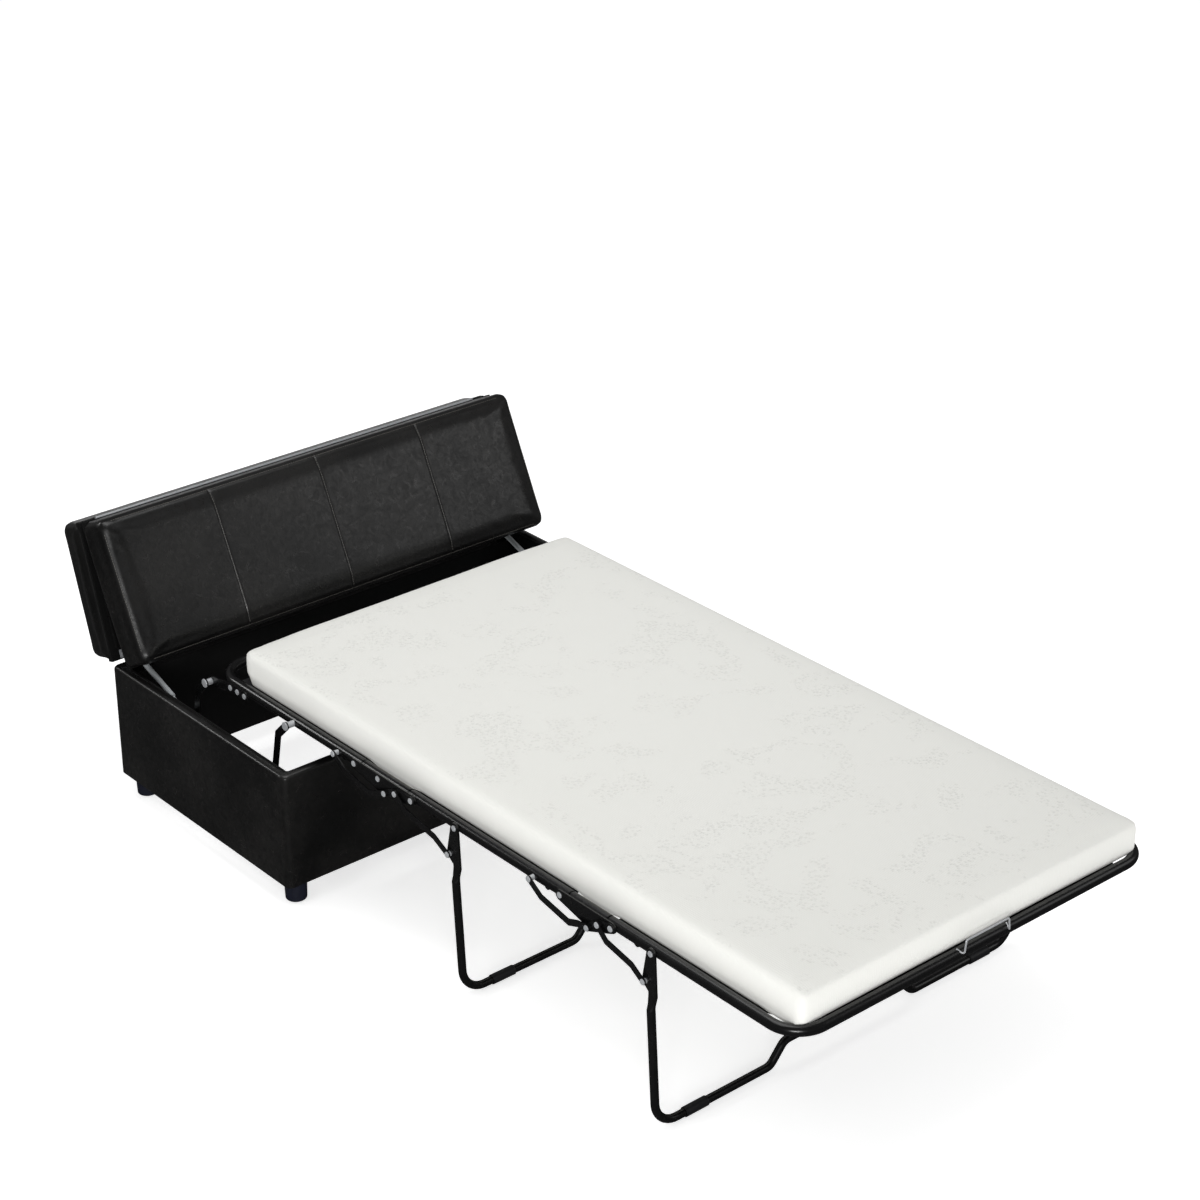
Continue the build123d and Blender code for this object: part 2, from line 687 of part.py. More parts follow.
def plate_pads(near, far):
    """Where the pads of a hinge plate lie against its short tube."""
    span = near - far
    return [(near - share * span, RAIL_HEIGHT) for share in HINGE_PAD_SHARES]


def hinge_plates(near, far, rivets):
    low = (near - HINGE_PLATE_SHARE * (near - far), RAIL_HEIGHT - HINGE_PLATE_DROP)
    points = [(near, RAIL_HEIGHT), (far, RAIL_HEIGHT), low]
    piece = plate(PLATE_X, PLATE_THICK, points, [HINGE_PLATE_R] * 3)
    for y, z in plate_pads(near, far):
        piece = piece + rod_x(RAIL_FACE, PLATE_X + OVERRUN, y, z, COLLAR_R)
    holes = rivets + points[:2]
    return both(solid(drilled(piece, holes, PIN_R)))


def hinge_pins(near, far, rivets):
    """The pins that the rails turn on, and the rivets of the hinge plates."""
    inner = RAIL_X - RAIL_R
    face = PLATE_X + PLATE_THICK
    pieces = both(rivet(inner, face, near, RAIL_HEIGHT))
    pieces += both(rivet(inner, CRANK_X + PLATE_THICK + SURFACE_GAP, far, RAIL_HEIGHT))
    for y, z in rivets:
        pieces += both(rivet(RAIL_X, face, y, z))
    return pieces


def bell_cranks(pivot_y, link, brace):
    """Sheet steel cranks on the far hinge pins, each with two shouldered studs."""
    pivot = (pivot_y, RAIL_HEIGHT)
    link = at_pivot(pivot_y, link)
    brace = at_pivot(pivot_y, brace)
    piece = plate(CRANK_X, PLATE_THICK, [pivot, link, brace], [CRANK_PIVOT_R, CRANK_R, CRANK_R])
    piece = drilled(piece, [pivot], PIN_R + PIN_CLEARANCE)
    for y, z in (link, brace):
        piece = piece + rod_x(CRANK_X, LINK_X - SURFACE_GAP, y, z, COLLAR_R)
    return both(solid(piece))


def control_link_points(start_y, pivot_y, link):
    """A control link's centre line: it dips under the hinge plate on its way to the crank."""
    first = (start_y, RAIL_HEIGHT)
    last = at_pivot(pivot_y, link)
    points = [first]
    for share, dip in CONTROL_DIP_SHARES:
        y = first[0] + share * (last[0] - first[0])
        points.append((y, RAIL_HEIGHT - dip * CONTROL_DIP))
    return points + [last]


def control_links(start_y, pivot_y, link):
    points = control_link_points(start_y, pivot_y, link)
    piece = strip(LINK_X, PLATE_THICK, points, LINK_WIDTH)
    return both(solid(drilled(piece, [points[0]], PIN_R + PIN_CLEARANCE)))


def link_rivets(point):
    """Rivet heads on the outer face of a link."""
    y, z = point
    face = LINK_X + PLATE_THICK
    head = rod_x(face, face + RIVET_HEAD_THICK, y, z, RIVET_HEAD_R)
    rim = head.edges().filter_by(GeomType.CIRCLE).sort_by(Axis.X)[-1]
    return both(solid(fillet(rim, RIVET_HEAD_THICK * 0.6)))


def braces(pivot_y, brace, leg_y, leg_brace):
    """Struts from the bell cranks down to the legs."""
    first = at_pivot(pivot_y, brace)
    last = at_pivot(leg_y, leg_brace)
    points = [first]
    for share in (0.2, 0.75):
        y = first[0] + share * (last[0] - first[0])
        z = first[1] + share * (last[1] - first[1])
        sag = BRACE_SAG if share < 0.5 else -BRACE_SAG / 2
        points.append((y, z - sag))
    points.append(last)
    piece = strip(LINK_X, PLATE_THICK, points, LINK_WIDTH)
    return both(solid(drilled(piece, [last], PIN_R + PIN_CLEARANCE)))


def leg_drop():
    """How far down the leg, along its lean, the floor tube's centre lies."""
    fall = RAIL_HEIGHT - LEG_D / 2 - PAD_WALL
    return math.hypot(fall, LEG_LEAN)


def leaned(shape, pivot_y):
    """A shape drawn straight down from the leg's pivot, leaned so its foot is nearer -Y."""
    lean = math.degrees(math.asin(LEG_LEAN / leg_drop()))
    axis = Axis((0, pivot_y, RAIL_HEIGHT), (1, 0, 0))
    return shape.rotate(axis, -lean)


def unleaned(point, pivot_y):
    lean = math.degrees(math.asin(LEG_LEAN / leg_drop()))
    return turned(point, (pivot_y, RAIL_HEIGHT), lean)


def leg(pivot_y, brace):
    """A U leg: flattened ears on the rails' pivots, side tubes, and a raised middle."""
    x = PLATE_X + LEG_D / 2
    low = RAIL_HEIGHT - leg_drop()
    top = RAIL_HEIGHT - EAR_LENGTH - EAR_TAPER
    points = [
        (x, pivot_y, top),
        (x, pivot_y, low),
        (LEG_RISE_HALF + LEG_RISE_RUN, pivot_y, low),
        (LEG_RISE_HALF, pivot_y, low + LEG_RISE),
        (-LEG_RISE_HALF, pivot_y, low + LEG_RISE),
        (-LEG_RISE_HALF - LEG_RISE_RUN, pivot_y, low),
        (-x, pivot_y, low),
        (-x, pivot_y, top),
    ]
    radii = [LEG_CORNER] + [LEG_BEND] * 4 + [LEG_CORNER]
    piece = tube(FilletPolyline(*points, radius=radii), LEG_D / 2, LEG_WALL)
    ear = leg_ear(pivot_y, brace, top)
    return [solid(leaned(piece + ear + mirrored(ear), pivot_y))]


def leg_ear(pivot_y, brace, top):
    """The flattened end of a leg tube, with its two holes."""
    x = PLATE_X
    hole = unleaned(at_pivot(pivot_y, brace), pivot_y)
    neck = RAIL_HEIGHT - EAR_LENGTH
    points = [(pivot_y, RAIL_HEIGHT), hole, (pivot_y, neck + EAR_WIDTH / 2)]
    flat = plate(x, EAR_THICK, points, [EAR_R, EAR_TIP_R, EAR_WIDTH / 2])
    y0 = pivot_y - EAR_WIDTH / 2
    y1 = pivot_y + EAR_WIDTH / 2
    flat = flat + box(x, x + EAR_THICK, y0, y1, neck, neck + EAR_WIDTH / 2)
    flat = drilled(flat, [(pivot_y, RAIL_HEIGHT)], PIN_R + PIN_CLEARANCE)
    flat = drilled(flat, [hole], PIN_R)
    upper = Plane.XY.offset(neck) * Pos(x + EAR_THICK / 2, pivot_y) * Rectangle(EAR_THICK, EAR_WIDTH)
    lower = Plane.XY.offset(top) * Pos(x + LEG_D / 2, pivot_y) * Circle(LEG_D / 2)
    return solid(flat + loft([upper, lower]))


def brace_studs(pivot_y, brace):
    """The studs on the legs that the braces turn on."""
    y, z = at_pivot(pivot_y, brace)
    outer = PLATE_X + EAR_THICK
    piece = stud(outer, LINK_X - SURFACE_GAP, LINK_X + PLATE_THICK + SURFACE_GAP, y, z)
    tail = rod_x(PLATE_X, outer, y, z, PIN_R)
    return both(solid(piece + tail))


def leg_pads(pivot_y):
    """Plastic sleeves on the floor tube."""
    z = RAIL_HEIGHT - leg_drop()
    x0 = RAIL_X - PAD_INSET - PAD_LENGTH / 2
    x1 = x0 + PAD_LENGTH
    sleeve = rod_x(x0, x1, pivot_y, z, LEG_D / 2 + PAD_WALL)
    sleeve = sleeve - rod_x(x0 - OVERRUN, x1 + OVERRUN, pivot_y, z, LEG_D / 2)
    return both(solid(leaned(sleeve, pivot_y)))


def mattress():
    """A one piece mattress with a slight crown, cut back under its foot end over the rail."""
    bottom = DECK_TOP + SURFACE_GAP
    middle = HEAD_Y - MATTRESS_HEAD_INSET - MATTRESS_LENGTH / 2
    side = MATTRESS_THICK - MATTRESS_CROWN
    insets = (0, 0, 0, 0, MATTRESS_DRAWN)
    cuts = (MATTRESS_UNDERCUT, MATTRESS_UNDERCUT, 0, 0, 0)
    sections = []
    for share, inset, cut in zip(MATTRESS_SIDE_SHARES, insets, cuts):
        width = MATTRESS_WIDTH - 2 * inset
        length = MATTRESS_LENGTH - 2 * inset - cut
        outline = RectangleRounded(width, length, MATTRESS_CORNER - inset)
        sections.append(Pos(0, middle + cut / 2, bottom + share * side) * outline)
    width = MATTRESS_WIDTH * MATTRESS_FLAT_SHARE
    length = MATTRESS_LENGTH - (MATTRESS_WIDTH - width)
    outline = RectangleRounded(width, length, MATTRESS_CORNER)
    sections.append(Pos(0, middle, bottom + MATTRESS_THICK) * outline)
    return [solid(loft(sections, ruled=True))]


def gas_points():
    """The fixed pivot on the base and the pivot under the rear panel, at rest."""
    shut = (LID_AXIS[0] - GAS_LID_ALONG, BASE_TOP - GAS_LID_DROP)
    return (GAS_BASE_Y, GAS_BASE_Z), turned(shut, LID_AXIS, -LID_OPEN)


def along_gas(shape):
    """Turns a shape drawn along +Y from the fixed pivot on to the gas spring's line."""
    base, lid = gas_points()
    angle = math.degrees(math.atan2(lid[1] - base[1], lid[0] - base[0]))
    return shape.rotate(Axis((0, base[0], base[1]), (1, 0, 0)), angle)


def gas_eye(y):
    half = GAS_EYE_THICK / 2
    return rod_x(GAS_PLANE - half, GAS_PLANE + half, y, GAS_BASE_Z, GAS_EYE_R)


def gas_reach():
    base, lid = gas_points()
    return math.dist(base, lid)


def gas_boss_face():
    """Where the bosses and webs of the gas springs' brackets start."""
    return GAS_PLANE + GAS_EYE_THICK


def gas_cylinders():
    """The cylinders, whose eyes turn on the rear panel's studs."""
    start = GAS_BASE_Y + GAS_CYLINDER_START
    lid_eye = GAS_BASE_Y + gas_reach()
    end = lid_eye - GAS_EYE_R
    body = rod_y(GAS_PLANE, start, end, GAS_BASE_Z, GAS_CYLINDER_R)
    body = chamfer(body.edges().filter_by(GeomType.CIRCLE), GAS_CYLINDER_CHAMFER)
    neck = rod_y(GAS_PLANE, end - OVERRUN, lid_eye, GAS_BASE_Z, GAS_ROD_R)
    bore = GAS_ROD_R + GAS_ROD_CLEARANCE
    piece = body + neck + gas_eye(lid_eye)
    piece = piece - rod_y(GAS_PLANE, start - OVERRUN, end - GAS_BORE_FLOOR, GAS_BASE_Z, bore)
    piece = drilled(piece, [(lid_eye, GAS_BASE_Z)], GAS_STUD_R + PIN_CLEARANCE)
    return both(solid(along_gas(piece)))


def gas_rods():
    """The rods, each with the stud that turns in the boss on the base."""
    end = GAS_BASE_Y + gas_reach() - GAS_EYE_R - GAS_BORE_FLOOR - GAS_ROD_SPARE
    stud_end = gas_boss_face() - SURFACE_GAP
    piece = rod_y(GAS_PLANE, GAS_BASE_Y, end, GAS_BASE_Z, GAS_ROD_R) + gas_eye(GAS_BASE_Y)
    piece = piece + rod_x(GAS_PLANE, stud_end, GAS_BASE_Y, GAS_BASE_Z, GAS_STUD_R)
    return both(solid(along_gas(piece)))


def gas_lug(y, z, x_end):
    """A stud that stands in from a fixed face at x_end to the gas spring's eye."""
    inner = GAS_PLANE - GAS_EYE_THICK / 2 - SURFACE_GAP
    shank = rod_x(inner - GAS_LUG / 2, x_end, y, z, GAS_STUD_R)
    boss = rod_x(GAS_PLANE + GAS_EYE_THICK / 2 + SURFACE_GAP, x_end, y, z, GAS_EYE_R)
    return shank + boss


def gas_base_brackets():
    """A plate and boss on each side board for the gas springs' lower ends."""
    y, z = GAS_BASE_Y, GAS_BASE_Z
    half = GAS_LUG_HALF
    foot = box(WALL_FACE - GAS_LUG, WALL_FACE, y - half, y + half, z - half, z + half)
    return both(solid(foot + rod_x(gas_boss_face(), WALL_FACE, y, z, GAS_EYE_R)))


def gas_lid_brackets():
    """Angle brackets under the rear panel, with the studs of the gas springs' upper eyes."""
    y = LID_AXIS[0] - GAS_LID_ALONG
    z = BASE_TOP - GAS_LID_DROP
    x = gas_boss_face()
    half = GAS_LUG_HALF
    y1 = BASE_DEPTH - COVER_THICK - SURFACE_GAP
    web = box(x, x + GAS_LUG, y - half, y1, z - GAS_EYE_R, BASE_TOP)
    foot = box(x, x + half * 2, y - half, y1, BASE_TOP - GAS_LUG, BASE_TOP)
    return both(solid(open_rear(web + foot + gas_lug(y, z, x))))


NODES = {}


def stage(number, near, far, riveted, control_y, crank_link, crank_brace, leg_y, leg_brace):
    """All the pieces of one fold: short rails, plates, cranks, links, braces and leg."""
    tag = "_" + str(number)
    rivets = plate_pads(near, far)[:riveted]
    NODES["spacer_tubes" + tag] = spacer_tubes(near, far, rivets)
    NODES["hinge_plates" + tag] = hinge_plates(near, far, rivets)
    NODES["hinge_pins" + tag] = hinge_pins(near, far, rivets)
    NODES["bell_cranks" + tag] = bell_cranks(far, crank_link, crank_brace)
    NODES["control_links" + tag] = control_links(control_y, far, crank_link)
    NODES["control_link_rivets" + tag] = link_rivets(at_pivot(far, crank_link))
    NODES["braces" + tag] = braces(far, crank_brace, leg_y, leg_brace)
    NODES["brace_rivets" + tag] = link_rivets(at_pivot(far, crank_brace))
    NODES["leg" + tag] = leg(leg_y, leg_brace)
    NODES["brace_studs" + tag] = brace_studs(leg_y, leg_brace)
    NODES["leg_pads" + tag] = leg_pads(leg_y)


def base():
    front, back = end_boards()
    NODES["base_cover"] = base_cover()
    NODES["base_front_board"] = [front]
    NODES["base_back_board"] = [back]
    NODES["base_side_boards"] = side_boards()
    NODES["base_corner_blocks"] = corner_blocks()
    NODES["base_feet"] = base_feet()
    NODES["lift_brackets"] = lift_brackets()
    NODES["gas_base_brackets"] = gas_base_brackets()
    NODES["lift_links_front"] = lift_link(LIFT_TOP_FRONT)
    NODES["lift_links_rear"] = lift_link(LIFT_TOP_REAR)
    NODES["gas_cylinders"] = gas_cylinders()
    NODES["gas_rods"] = gas_rods()


def lids():
    fixed, moving = base_hinge_leaves()
    fold_rear, fold_front = fold_hinge_leaves()
    NODES["base_hinge_leaf"] = [fixed]
    NODES["base_hinge_pin"] = [hinge_pin(LID_AXIS)]
    NODES["rear_lid_hinge_leaf"] = [open_rear(moving)]
    NODES["rear_lid_board"] = [open_rear(lid_board(*rear_panel()))]
    NODES["rear_lid_cushion"] = [open_rear(lid_cushion(*rear_panel()))]
    NODES["fold_hinge_leaf_rear"] = [open_rear(fold_rear)]
    NODES["fold_hinge_pin"] = [open_rear(hinge_pin(FOLD_AXIS))]
    NODES["gas_lid_brackets"] = gas_lid_brackets()
    NODES["front_lid_board"] = [open_front(lid_board(*front_panel()))]
    NODES["front_lid_cushion"] = [open_front(lid_cushion(*front_panel()))]
    NODES["fold_hinge_leaf_front"] = [open_front(fold_front)]


def bed_frame():
    leg_1 = HINGE_1B - LEG_1_PLACE
    leg_2 = HINGE_2B - LEG_2_PLACE
    control_1 = HINGE_1A + CONTROL_PIVOT_1
    control_2 = HINGE_2A + CONTROL_PIVOT_2
    NODES["head_loop"] = head_loop()
    NODES["lift_plates"] = lift_plates()
    NODES["head_studs"] = head_studs()
    NODES["head_cross_bar"] = [cross_bar(HINGE_1A + CROSS_BAR_INSET)]
    NODES["head_deck"] = [deck(HINGE_1A - RAIL_STUB + DECK_EDGE_GAP, HEAD_Y - HEAD_CORNER)]
    NODES["middle_rails"] = middle_rails()
    NODES["middle_studs"] = leg_studs(leg_1) + control_studs(control_2)
    bars = [HINGE_1B - CROSS_BAR_INSET, HINGE_2A + CROSS_BAR_INSET]
    NODES["middle_cross_bars"] = [cross_bar(y) for y in bars]
    start = HINGE_2A - RAIL_STUB + DECK_EDGE_GAP
    NODES["middle_deck"] = [deck(start, HINGE_1B + RAIL_STUB - DECK_EDGE_GAP)]
    NODES["foot_loop"] = foot_loop()
    NODES["foot_studs"] = leg_studs(leg_2)
    NODES["foot_cross_bar"] = [cross_bar(HINGE_2B - CROSS_BAR_INSET)]
    NODES["foot_deck"] = foot_deck()
    NODES["foot_wire"] = foot_wire()
    NODES["mattress"] = mattress()
    stage(1, HINGE_1A, HINGE_1B, PLATE_RIVETS_1, control_1, CRANK_LINK_1, CRANK_BRACE_1, leg_1, LEG_BRACE_1)
    stage(2, HINGE_2A, HINGE_2B, PLATE_RIVETS_2, control_2, CRANK_LINK_2, CRANK_BRACE_2, leg_2, LEG_BRACE_2)


base()
lids()
bed_frame()

# The origin goes to the middle of the footprint, on the floor
every = Compound(children=[piece.solids()[0] for pieces in NODES.values() for piece in pieces])
reach = every.bounding_box()
ORIGIN_Y = (reach.min.Y + reach.max.Y) / 2
for name, pieces in NODES.items():
    moved = [Pos(0, -ORIGIN_Y, 0) * piece.solids()[0] for piece in pieces]
    group = moved[0] if len(moved) == 1 else Compound(children=moved)
    export_step(group, "parts/" + name + ".step")
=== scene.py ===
import json
import math

import bmesh
import bpy
from mathutils import Matrix, Vector


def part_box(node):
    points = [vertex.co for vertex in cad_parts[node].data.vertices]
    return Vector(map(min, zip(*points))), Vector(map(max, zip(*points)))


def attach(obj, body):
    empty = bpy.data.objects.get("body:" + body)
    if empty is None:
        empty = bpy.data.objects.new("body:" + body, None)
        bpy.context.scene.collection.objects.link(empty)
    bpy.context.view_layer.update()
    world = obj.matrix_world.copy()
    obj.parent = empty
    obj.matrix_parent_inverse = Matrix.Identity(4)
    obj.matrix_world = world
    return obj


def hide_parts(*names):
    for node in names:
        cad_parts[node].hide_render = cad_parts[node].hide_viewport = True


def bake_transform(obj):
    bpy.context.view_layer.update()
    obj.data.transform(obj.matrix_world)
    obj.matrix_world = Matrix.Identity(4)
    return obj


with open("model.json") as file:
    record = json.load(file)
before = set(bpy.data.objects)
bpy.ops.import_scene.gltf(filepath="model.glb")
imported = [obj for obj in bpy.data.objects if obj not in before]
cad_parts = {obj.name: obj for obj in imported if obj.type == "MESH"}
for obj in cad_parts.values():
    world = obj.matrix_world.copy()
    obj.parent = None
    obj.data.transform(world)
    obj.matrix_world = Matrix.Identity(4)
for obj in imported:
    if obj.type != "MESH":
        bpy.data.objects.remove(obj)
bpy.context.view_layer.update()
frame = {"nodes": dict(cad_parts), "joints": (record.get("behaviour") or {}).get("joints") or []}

bl_info = {
    "name": "Fold Out Ottoman Guest Bed",
    "version": (1, 0, 0),
    "blender": (4, 5, 0),
    "location": "View3D > Sidebar > Guest Bed",
    "description": "Dresses the guest bed: cushions, base cover, mattress, deck cloths, finishes and stage",
    "category": "Object",
}

MM = 0.001
NEAR = 1e-5

# Places read from the frame
BASE_LOW, BASE_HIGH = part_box("base_cover")
BED_LOW, BED_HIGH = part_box("mattress")
HINGE_LOW, HINGE_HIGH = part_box("base_hinge_pin")
FOLD_LOW, FOLD_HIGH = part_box("fold_hinge_pin")
TUBE_LOW, TUBE_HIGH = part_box("foot_loop")
DECK_GAPS = ((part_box("middle_deck")[1].y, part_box("head_deck")[0].y),
             (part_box("foot_deck")[1].y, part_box("middle_deck")[0].y))
LID_HINGE = (HINGE_LOW + HINGE_HIGH) / 2
FOLD_HINGE = (FOLD_LOW + FOLD_HIGH) / 2
FRONT = BASE_LOW.y
# the two hinge lines of stage 1 and of stage 2, from the head to the foot
BED_HINGES = [joint["pos_m"][1] for joint in frame["joints"] if joint["name"].startswith("fold_")]

# Lid: how far its rear panel stands open, how its front panel hangs from the fold, the gaps beside
# the panels, and how far the leather goes over and past their boards
LID_OPEN = math.radians(107)
PANEL_HANG = math.radians(64.066)
PANEL_GAP = 1 * MM
PANEL_SETBACK = 2 * MM
LEATHER_WRAP = 0.8 * MM
LEATHER_LAP = 1.5 * MM

# Lid cushions: each starts without its crown, and swells as cloth that is held near its back
CUSHION_OVERHANG = 5 * MM
CUSHION_THICK = 104 * MM
CUSHION_CROWN = 2.5 * MM
CUSHION_BACK_EDGE = 4 * MM
CORNER_STEPS = 5
RIM_STEPS = 4
BACK_STEPS = 3
CUSHION_VOXEL = 9 * MM
CUSHION_PRESSURE = 3.0
CUSHION_FRAMES = 20
CUSHION_SWELL = 4 * MM
CUSHION_HELD = 22 * MM
CUSHION_SIDE_ROOM = 2 * MM
CUSHION_FACE_ROOM = 1 * MM
LEATHER_SMOOTH = 50

# Sewn channels in the upper share of a cushion: a narrow crease in a shallow dish, with edge loops
# on both sides, in millimetres
FACE_SHARE = 0.6
SEAM_SHARES = (-0.25, 0.0, 0.25)
SEAM_LOOPS = (-9, -4, -1.5, 0, 1.5, 4, 9)
SEAM_REACH = 2.2 * MM
SEAM_END = 2 * MM
SEAM_FADE = 20 * MM
CREASE_SHARE = 0.8
DISH_SHARE = 0.2
DISH_WIDTHS = 6

# Stitches: the thread takes its share of each stitch, and lies within the rim by a share of its radius
THREAD_SIDES = 6
THREAD_RADIUS = 0.55 * MM
THREAD_TUCK = 0.2 * MM
THREAD_LIFT = 0.15 * MM
THREAD_SHARE = 0.72
STITCHES_ASIDE = 1.6 * MM
STITCHES_END = 20 * MM
RIM_SHARE = 0.8
RAY_HEIGHT = 1.0

# Base cover: the wall, its roll over the rim, a flat lip, the roll down inside and the hem
BASE_PAD = 4 * MM
BASE_CORNER = 16 * MM
BASE_CORNER_STEPS = 6
BASE_LIP = 2.6 * MM
ROLL = 9 * MM
WALL_BANDS = 6
OUTER_BENDS = 6
INNER_BENDS = 5
LIP_STEPS = ((4 * MM, 0.5 * MM), (4.5 * MM, -0.5 * MM))
HEM_STEPS = ((0.4 * MM, -9 * MM), (0, -9 * MM))
HIDE_THICK = 2 * MM
CAP_AREA = 0.3
CAP_LEVEL = 0.99
NOTCH = (88 * MM, 26 * MM, 60 * MM)
NOTCH_SIDE = 584 * MM
NOTCH_INSET = 16.5 * MM

# Mattress: how far it lies past its solid, how it swells and sags, and the foot tube that it sits on
MATTRESS_SIDE = 5.5 * MM
MATTRESS_HEAD = 26 * MM
MATTRESS_SWELL = 1.5 * MM
MATTRESS_VOXEL = 13 * MM
MATTRESS_CORNER_STEPS = 8
MATTRESS_EDGE_STEPS = 4
MATTRESS_PRESSURE = 2.0
MATTRESS_FRAMES = 16
MATTRESS_CAP = 3 * MM
MATTRESS_HELD = 3 * MM
MATTRESS_CROWN = 2 * MM
FOOT_BAND = 5 * MM
SAG = 8 * MM
SAG_HEIGHT = 25 * MM
SAG_SLOPE = 4
LOOP_CORNER = 72 * MM
TUBE_CLEARANCE = 0.4 * MM
KNIT_SMOOTH = 60

# Deck cloths
DECK_GRID = (40, 20)
DECK_CORNER = 82 * MM
DECK_CORNER_SLOPE = 0.9
DECK_DROP = 1.0 * MM
DECK_SLACK = 0.8 * MM
DECK_THICK = 1.2 * MM
RIPPLE = 0.25 * MM
RIPPLES_ALONG = 60
RIPPLES_ACROSS = 25
DECK_SMOOTH = 40

# Cloth that swells
CLOTH_QUALITY = 4
CLOTH_STIFFNESS = 25

# Stage
FLOOR_SIZE = 60
FLOOR_DROP = 0.5 * MM
LAMP_AIM = Vector((0, 0, 0.4))
SENSOR = 36
VIEW_LIMIT = 100

# The Mix node's colour inputs and output share their names with its number ones
MIX_A, MIX_B, MIXED = 6, 7, 2
# The Wave node has a band every pi / 10 of its scaled units
WAVE = math.pi / 10


# Settings


class OttomanLeatherSettings(bpy.types.PropertyGroup):
    # the lightest tone of the leather's painted sheen streaks; the colour runs down from here to near black
    colour: bpy.props.StringProperty(
        name="Leather colour", description="sRGB hex of the coated leather", default="#1A1918")
    grain: bpy.props.FloatProperty(
        name="Grain", description="Width of one pebble of the grain", default=1.6 * MM, subtype="DISTANCE")
    thread: bpy.props.StringProperty(
        name="Thread colour", description="sRGB hex of the sewing thread", default="#77746d")
    stitch: bpy.props.FloatProperty(
        name="Stitch", description="Length of one stitch and its gap", default=6.5 * MM, subtype="DISTANCE")
    rim: bpy.props.FloatProperty(
        name="Cushion rim radius", description="Roundness of a lid cushion's rim",
        default=17 * MM, subtype="DISTANCE")
    corner: bpy.props.FloatProperty(
        name="Cushion corner radius", description="Roundness of its corners seen from above",
        default=26 * MM, subtype="DISTANCE")
    channel: bpy.props.FloatProperty(
        name="Channel depth", description="How far a sewn channel is drawn in",
        default=2.6 * MM, subtype="DISTANCE")


class OttomanMattressSettings(bpy.types.PropertyGroup):
    colour: bpy.props.StringProperty(
        name="Knit colour", description="sRGB hex of the mattress ticking", default="#ECECE7")
    rib: bpy.props.FloatProperty(
        name="Rib", description="Width of one knitted rib", default=5.0 * MM, subtype="DISTANCE")
    rim: bpy.props.FloatProperty(
        name="Rim radius", description="Roundness of the mattress's upper edge",
        default=17 * MM, subtype="DISTANCE")
    corner: bpy.props.FloatProperty(
        name="Head corner radius", description="Roundness of the head's corners seen from above",
        default=80 * MM, subtype="DISTANCE")
    foot_corner: bpy.props.FloatProperty(
        name="Foot corner radius", description="Roundness of the foot's corners seen from above",
        default=16 * MM, subtype="DISTANCE")


class OttomanFinishSettings(bpy.types.PropertyGroup):
    frame: bpy.props.StringProperty(
        name="Frame colour", description="sRGB hex of the powder coat", default="#0D0D0E")
    zinc: bpy.props.StringProperty(
        name="Zinc colour", description="sRGB hex of the zinc plating", default="#C9CBCE")
    foot: bpy.props.StringProperty(
        name="Foot colour", description="sRGB hex of the moulded feet", default="#151B33")
    spring: bpy.props.StringProperty(
        name="Gas spring colour", description="sRGB hex of the gas spring's enamel", default="#C4C8CA")
    lining: bpy.props.StringProperty(
        name="Lining colour", description="sRGB hex of the cloth on the boards", default="#0E0E0E")
    deck: bpy.props.StringProperty(
        name="Deck colour", description="sRGB hex of the woven deck cloth", default="#1B1B1E")


class OttomanStageSettings(bpy.types.PropertyGroup):
    camera: bpy.props.FloatVectorProperty(
        name="Camera", description="Where the camera stands, from the foot of the base's front face",
        size=3, subtype="TRANSLATION", default=(-3.706, -4.686, 3.586))
    forward: bpy.props.FloatVectorProperty(
        name="Line of sight", description="Direction in which the camera looks",
        size=3, subtype="DIRECTION", default=(0.5833, 0.6789, -0.4458))
    lens: bpy.props.FloatProperty(
        name="Lens", description="Focal length on a 36 mm sensor", default=83.54, subtype="DISTANCE_CAMERA")
    ground: bpy.props.StringProperty(
        name="Ground colour", description="sRGB hex of the floor", default="#F4F4F4")


# Small tools


def linear(text):
    """An sRGB hex colour as linear RGBA."""
    channels = []
    for start in (1, 3, 5):
        value = int(text[start:start + 2], 16) / 255
        channels.append(value / 12.92 if value <= 0.04045 else ((value + 0.055) / 1.055) ** 2.4)
    return (*channels, 1.0)


def add_node(tree, kind, settings=None, links=None):
    """Adds a node. settings holds its properties and its fixed inputs, and links the outputs that
    feed its others. An input goes by its name, or by its number where others share its name."""
    node = tree.nodes.new(kind)
    for key, value in (settings or {}).items():
        if hasattr(node, str(key)):
            setattr(node, key, value)
        else:
            node.inputs[key].default_value = value
    for key, source in (links or {}).items():
        tree.links.new(source, node.inputs[key])
    return node


def new_material(name):
    """An empty material with its tree, and object coordinates in metres."""
    made = bpy.data.materials.new(name)
    made.use_nodes = True
    tree = made.node_tree
    tree.nodes.clear()
    return made, tree, add_node(tree, "ShaderNodeTexCoord").outputs["Object"]


def finished(made, shader):
    """Joins a material's last shader to its output."""
    add_node(made.node_tree, "ShaderNodeOutputMaterial", {}, {"Surface": shader.outputs[0]})
    return made


def made_once(make):
    """Has a material made when it is first used, and found by its name from then on."""
    def fetch(*details):
        name = details[0] if details else make.__name__
        return bpy.data.materials.get(name) or make(*details)
    return fetch


def deselect():
    bpy.ops.object.select_all(action="DESELECT")


def activate(piece):
    deselect()
    piece.select_set(True)
    bpy.context.view_layer.objects.active = piece


def named(name):
    piece = bpy.context.object
    piece.name = name
    piece.data.name = name
    return piece


def add_cube(name, size, centre):
    deselect()
    bpy.ops.mesh.primitive_cube_add(size=1, location=centre)
    piece = named(name)
    piece.scale = size
    bpy.ops.object.transform_apply(location=True, rotation=True, scale=True)
    return piece


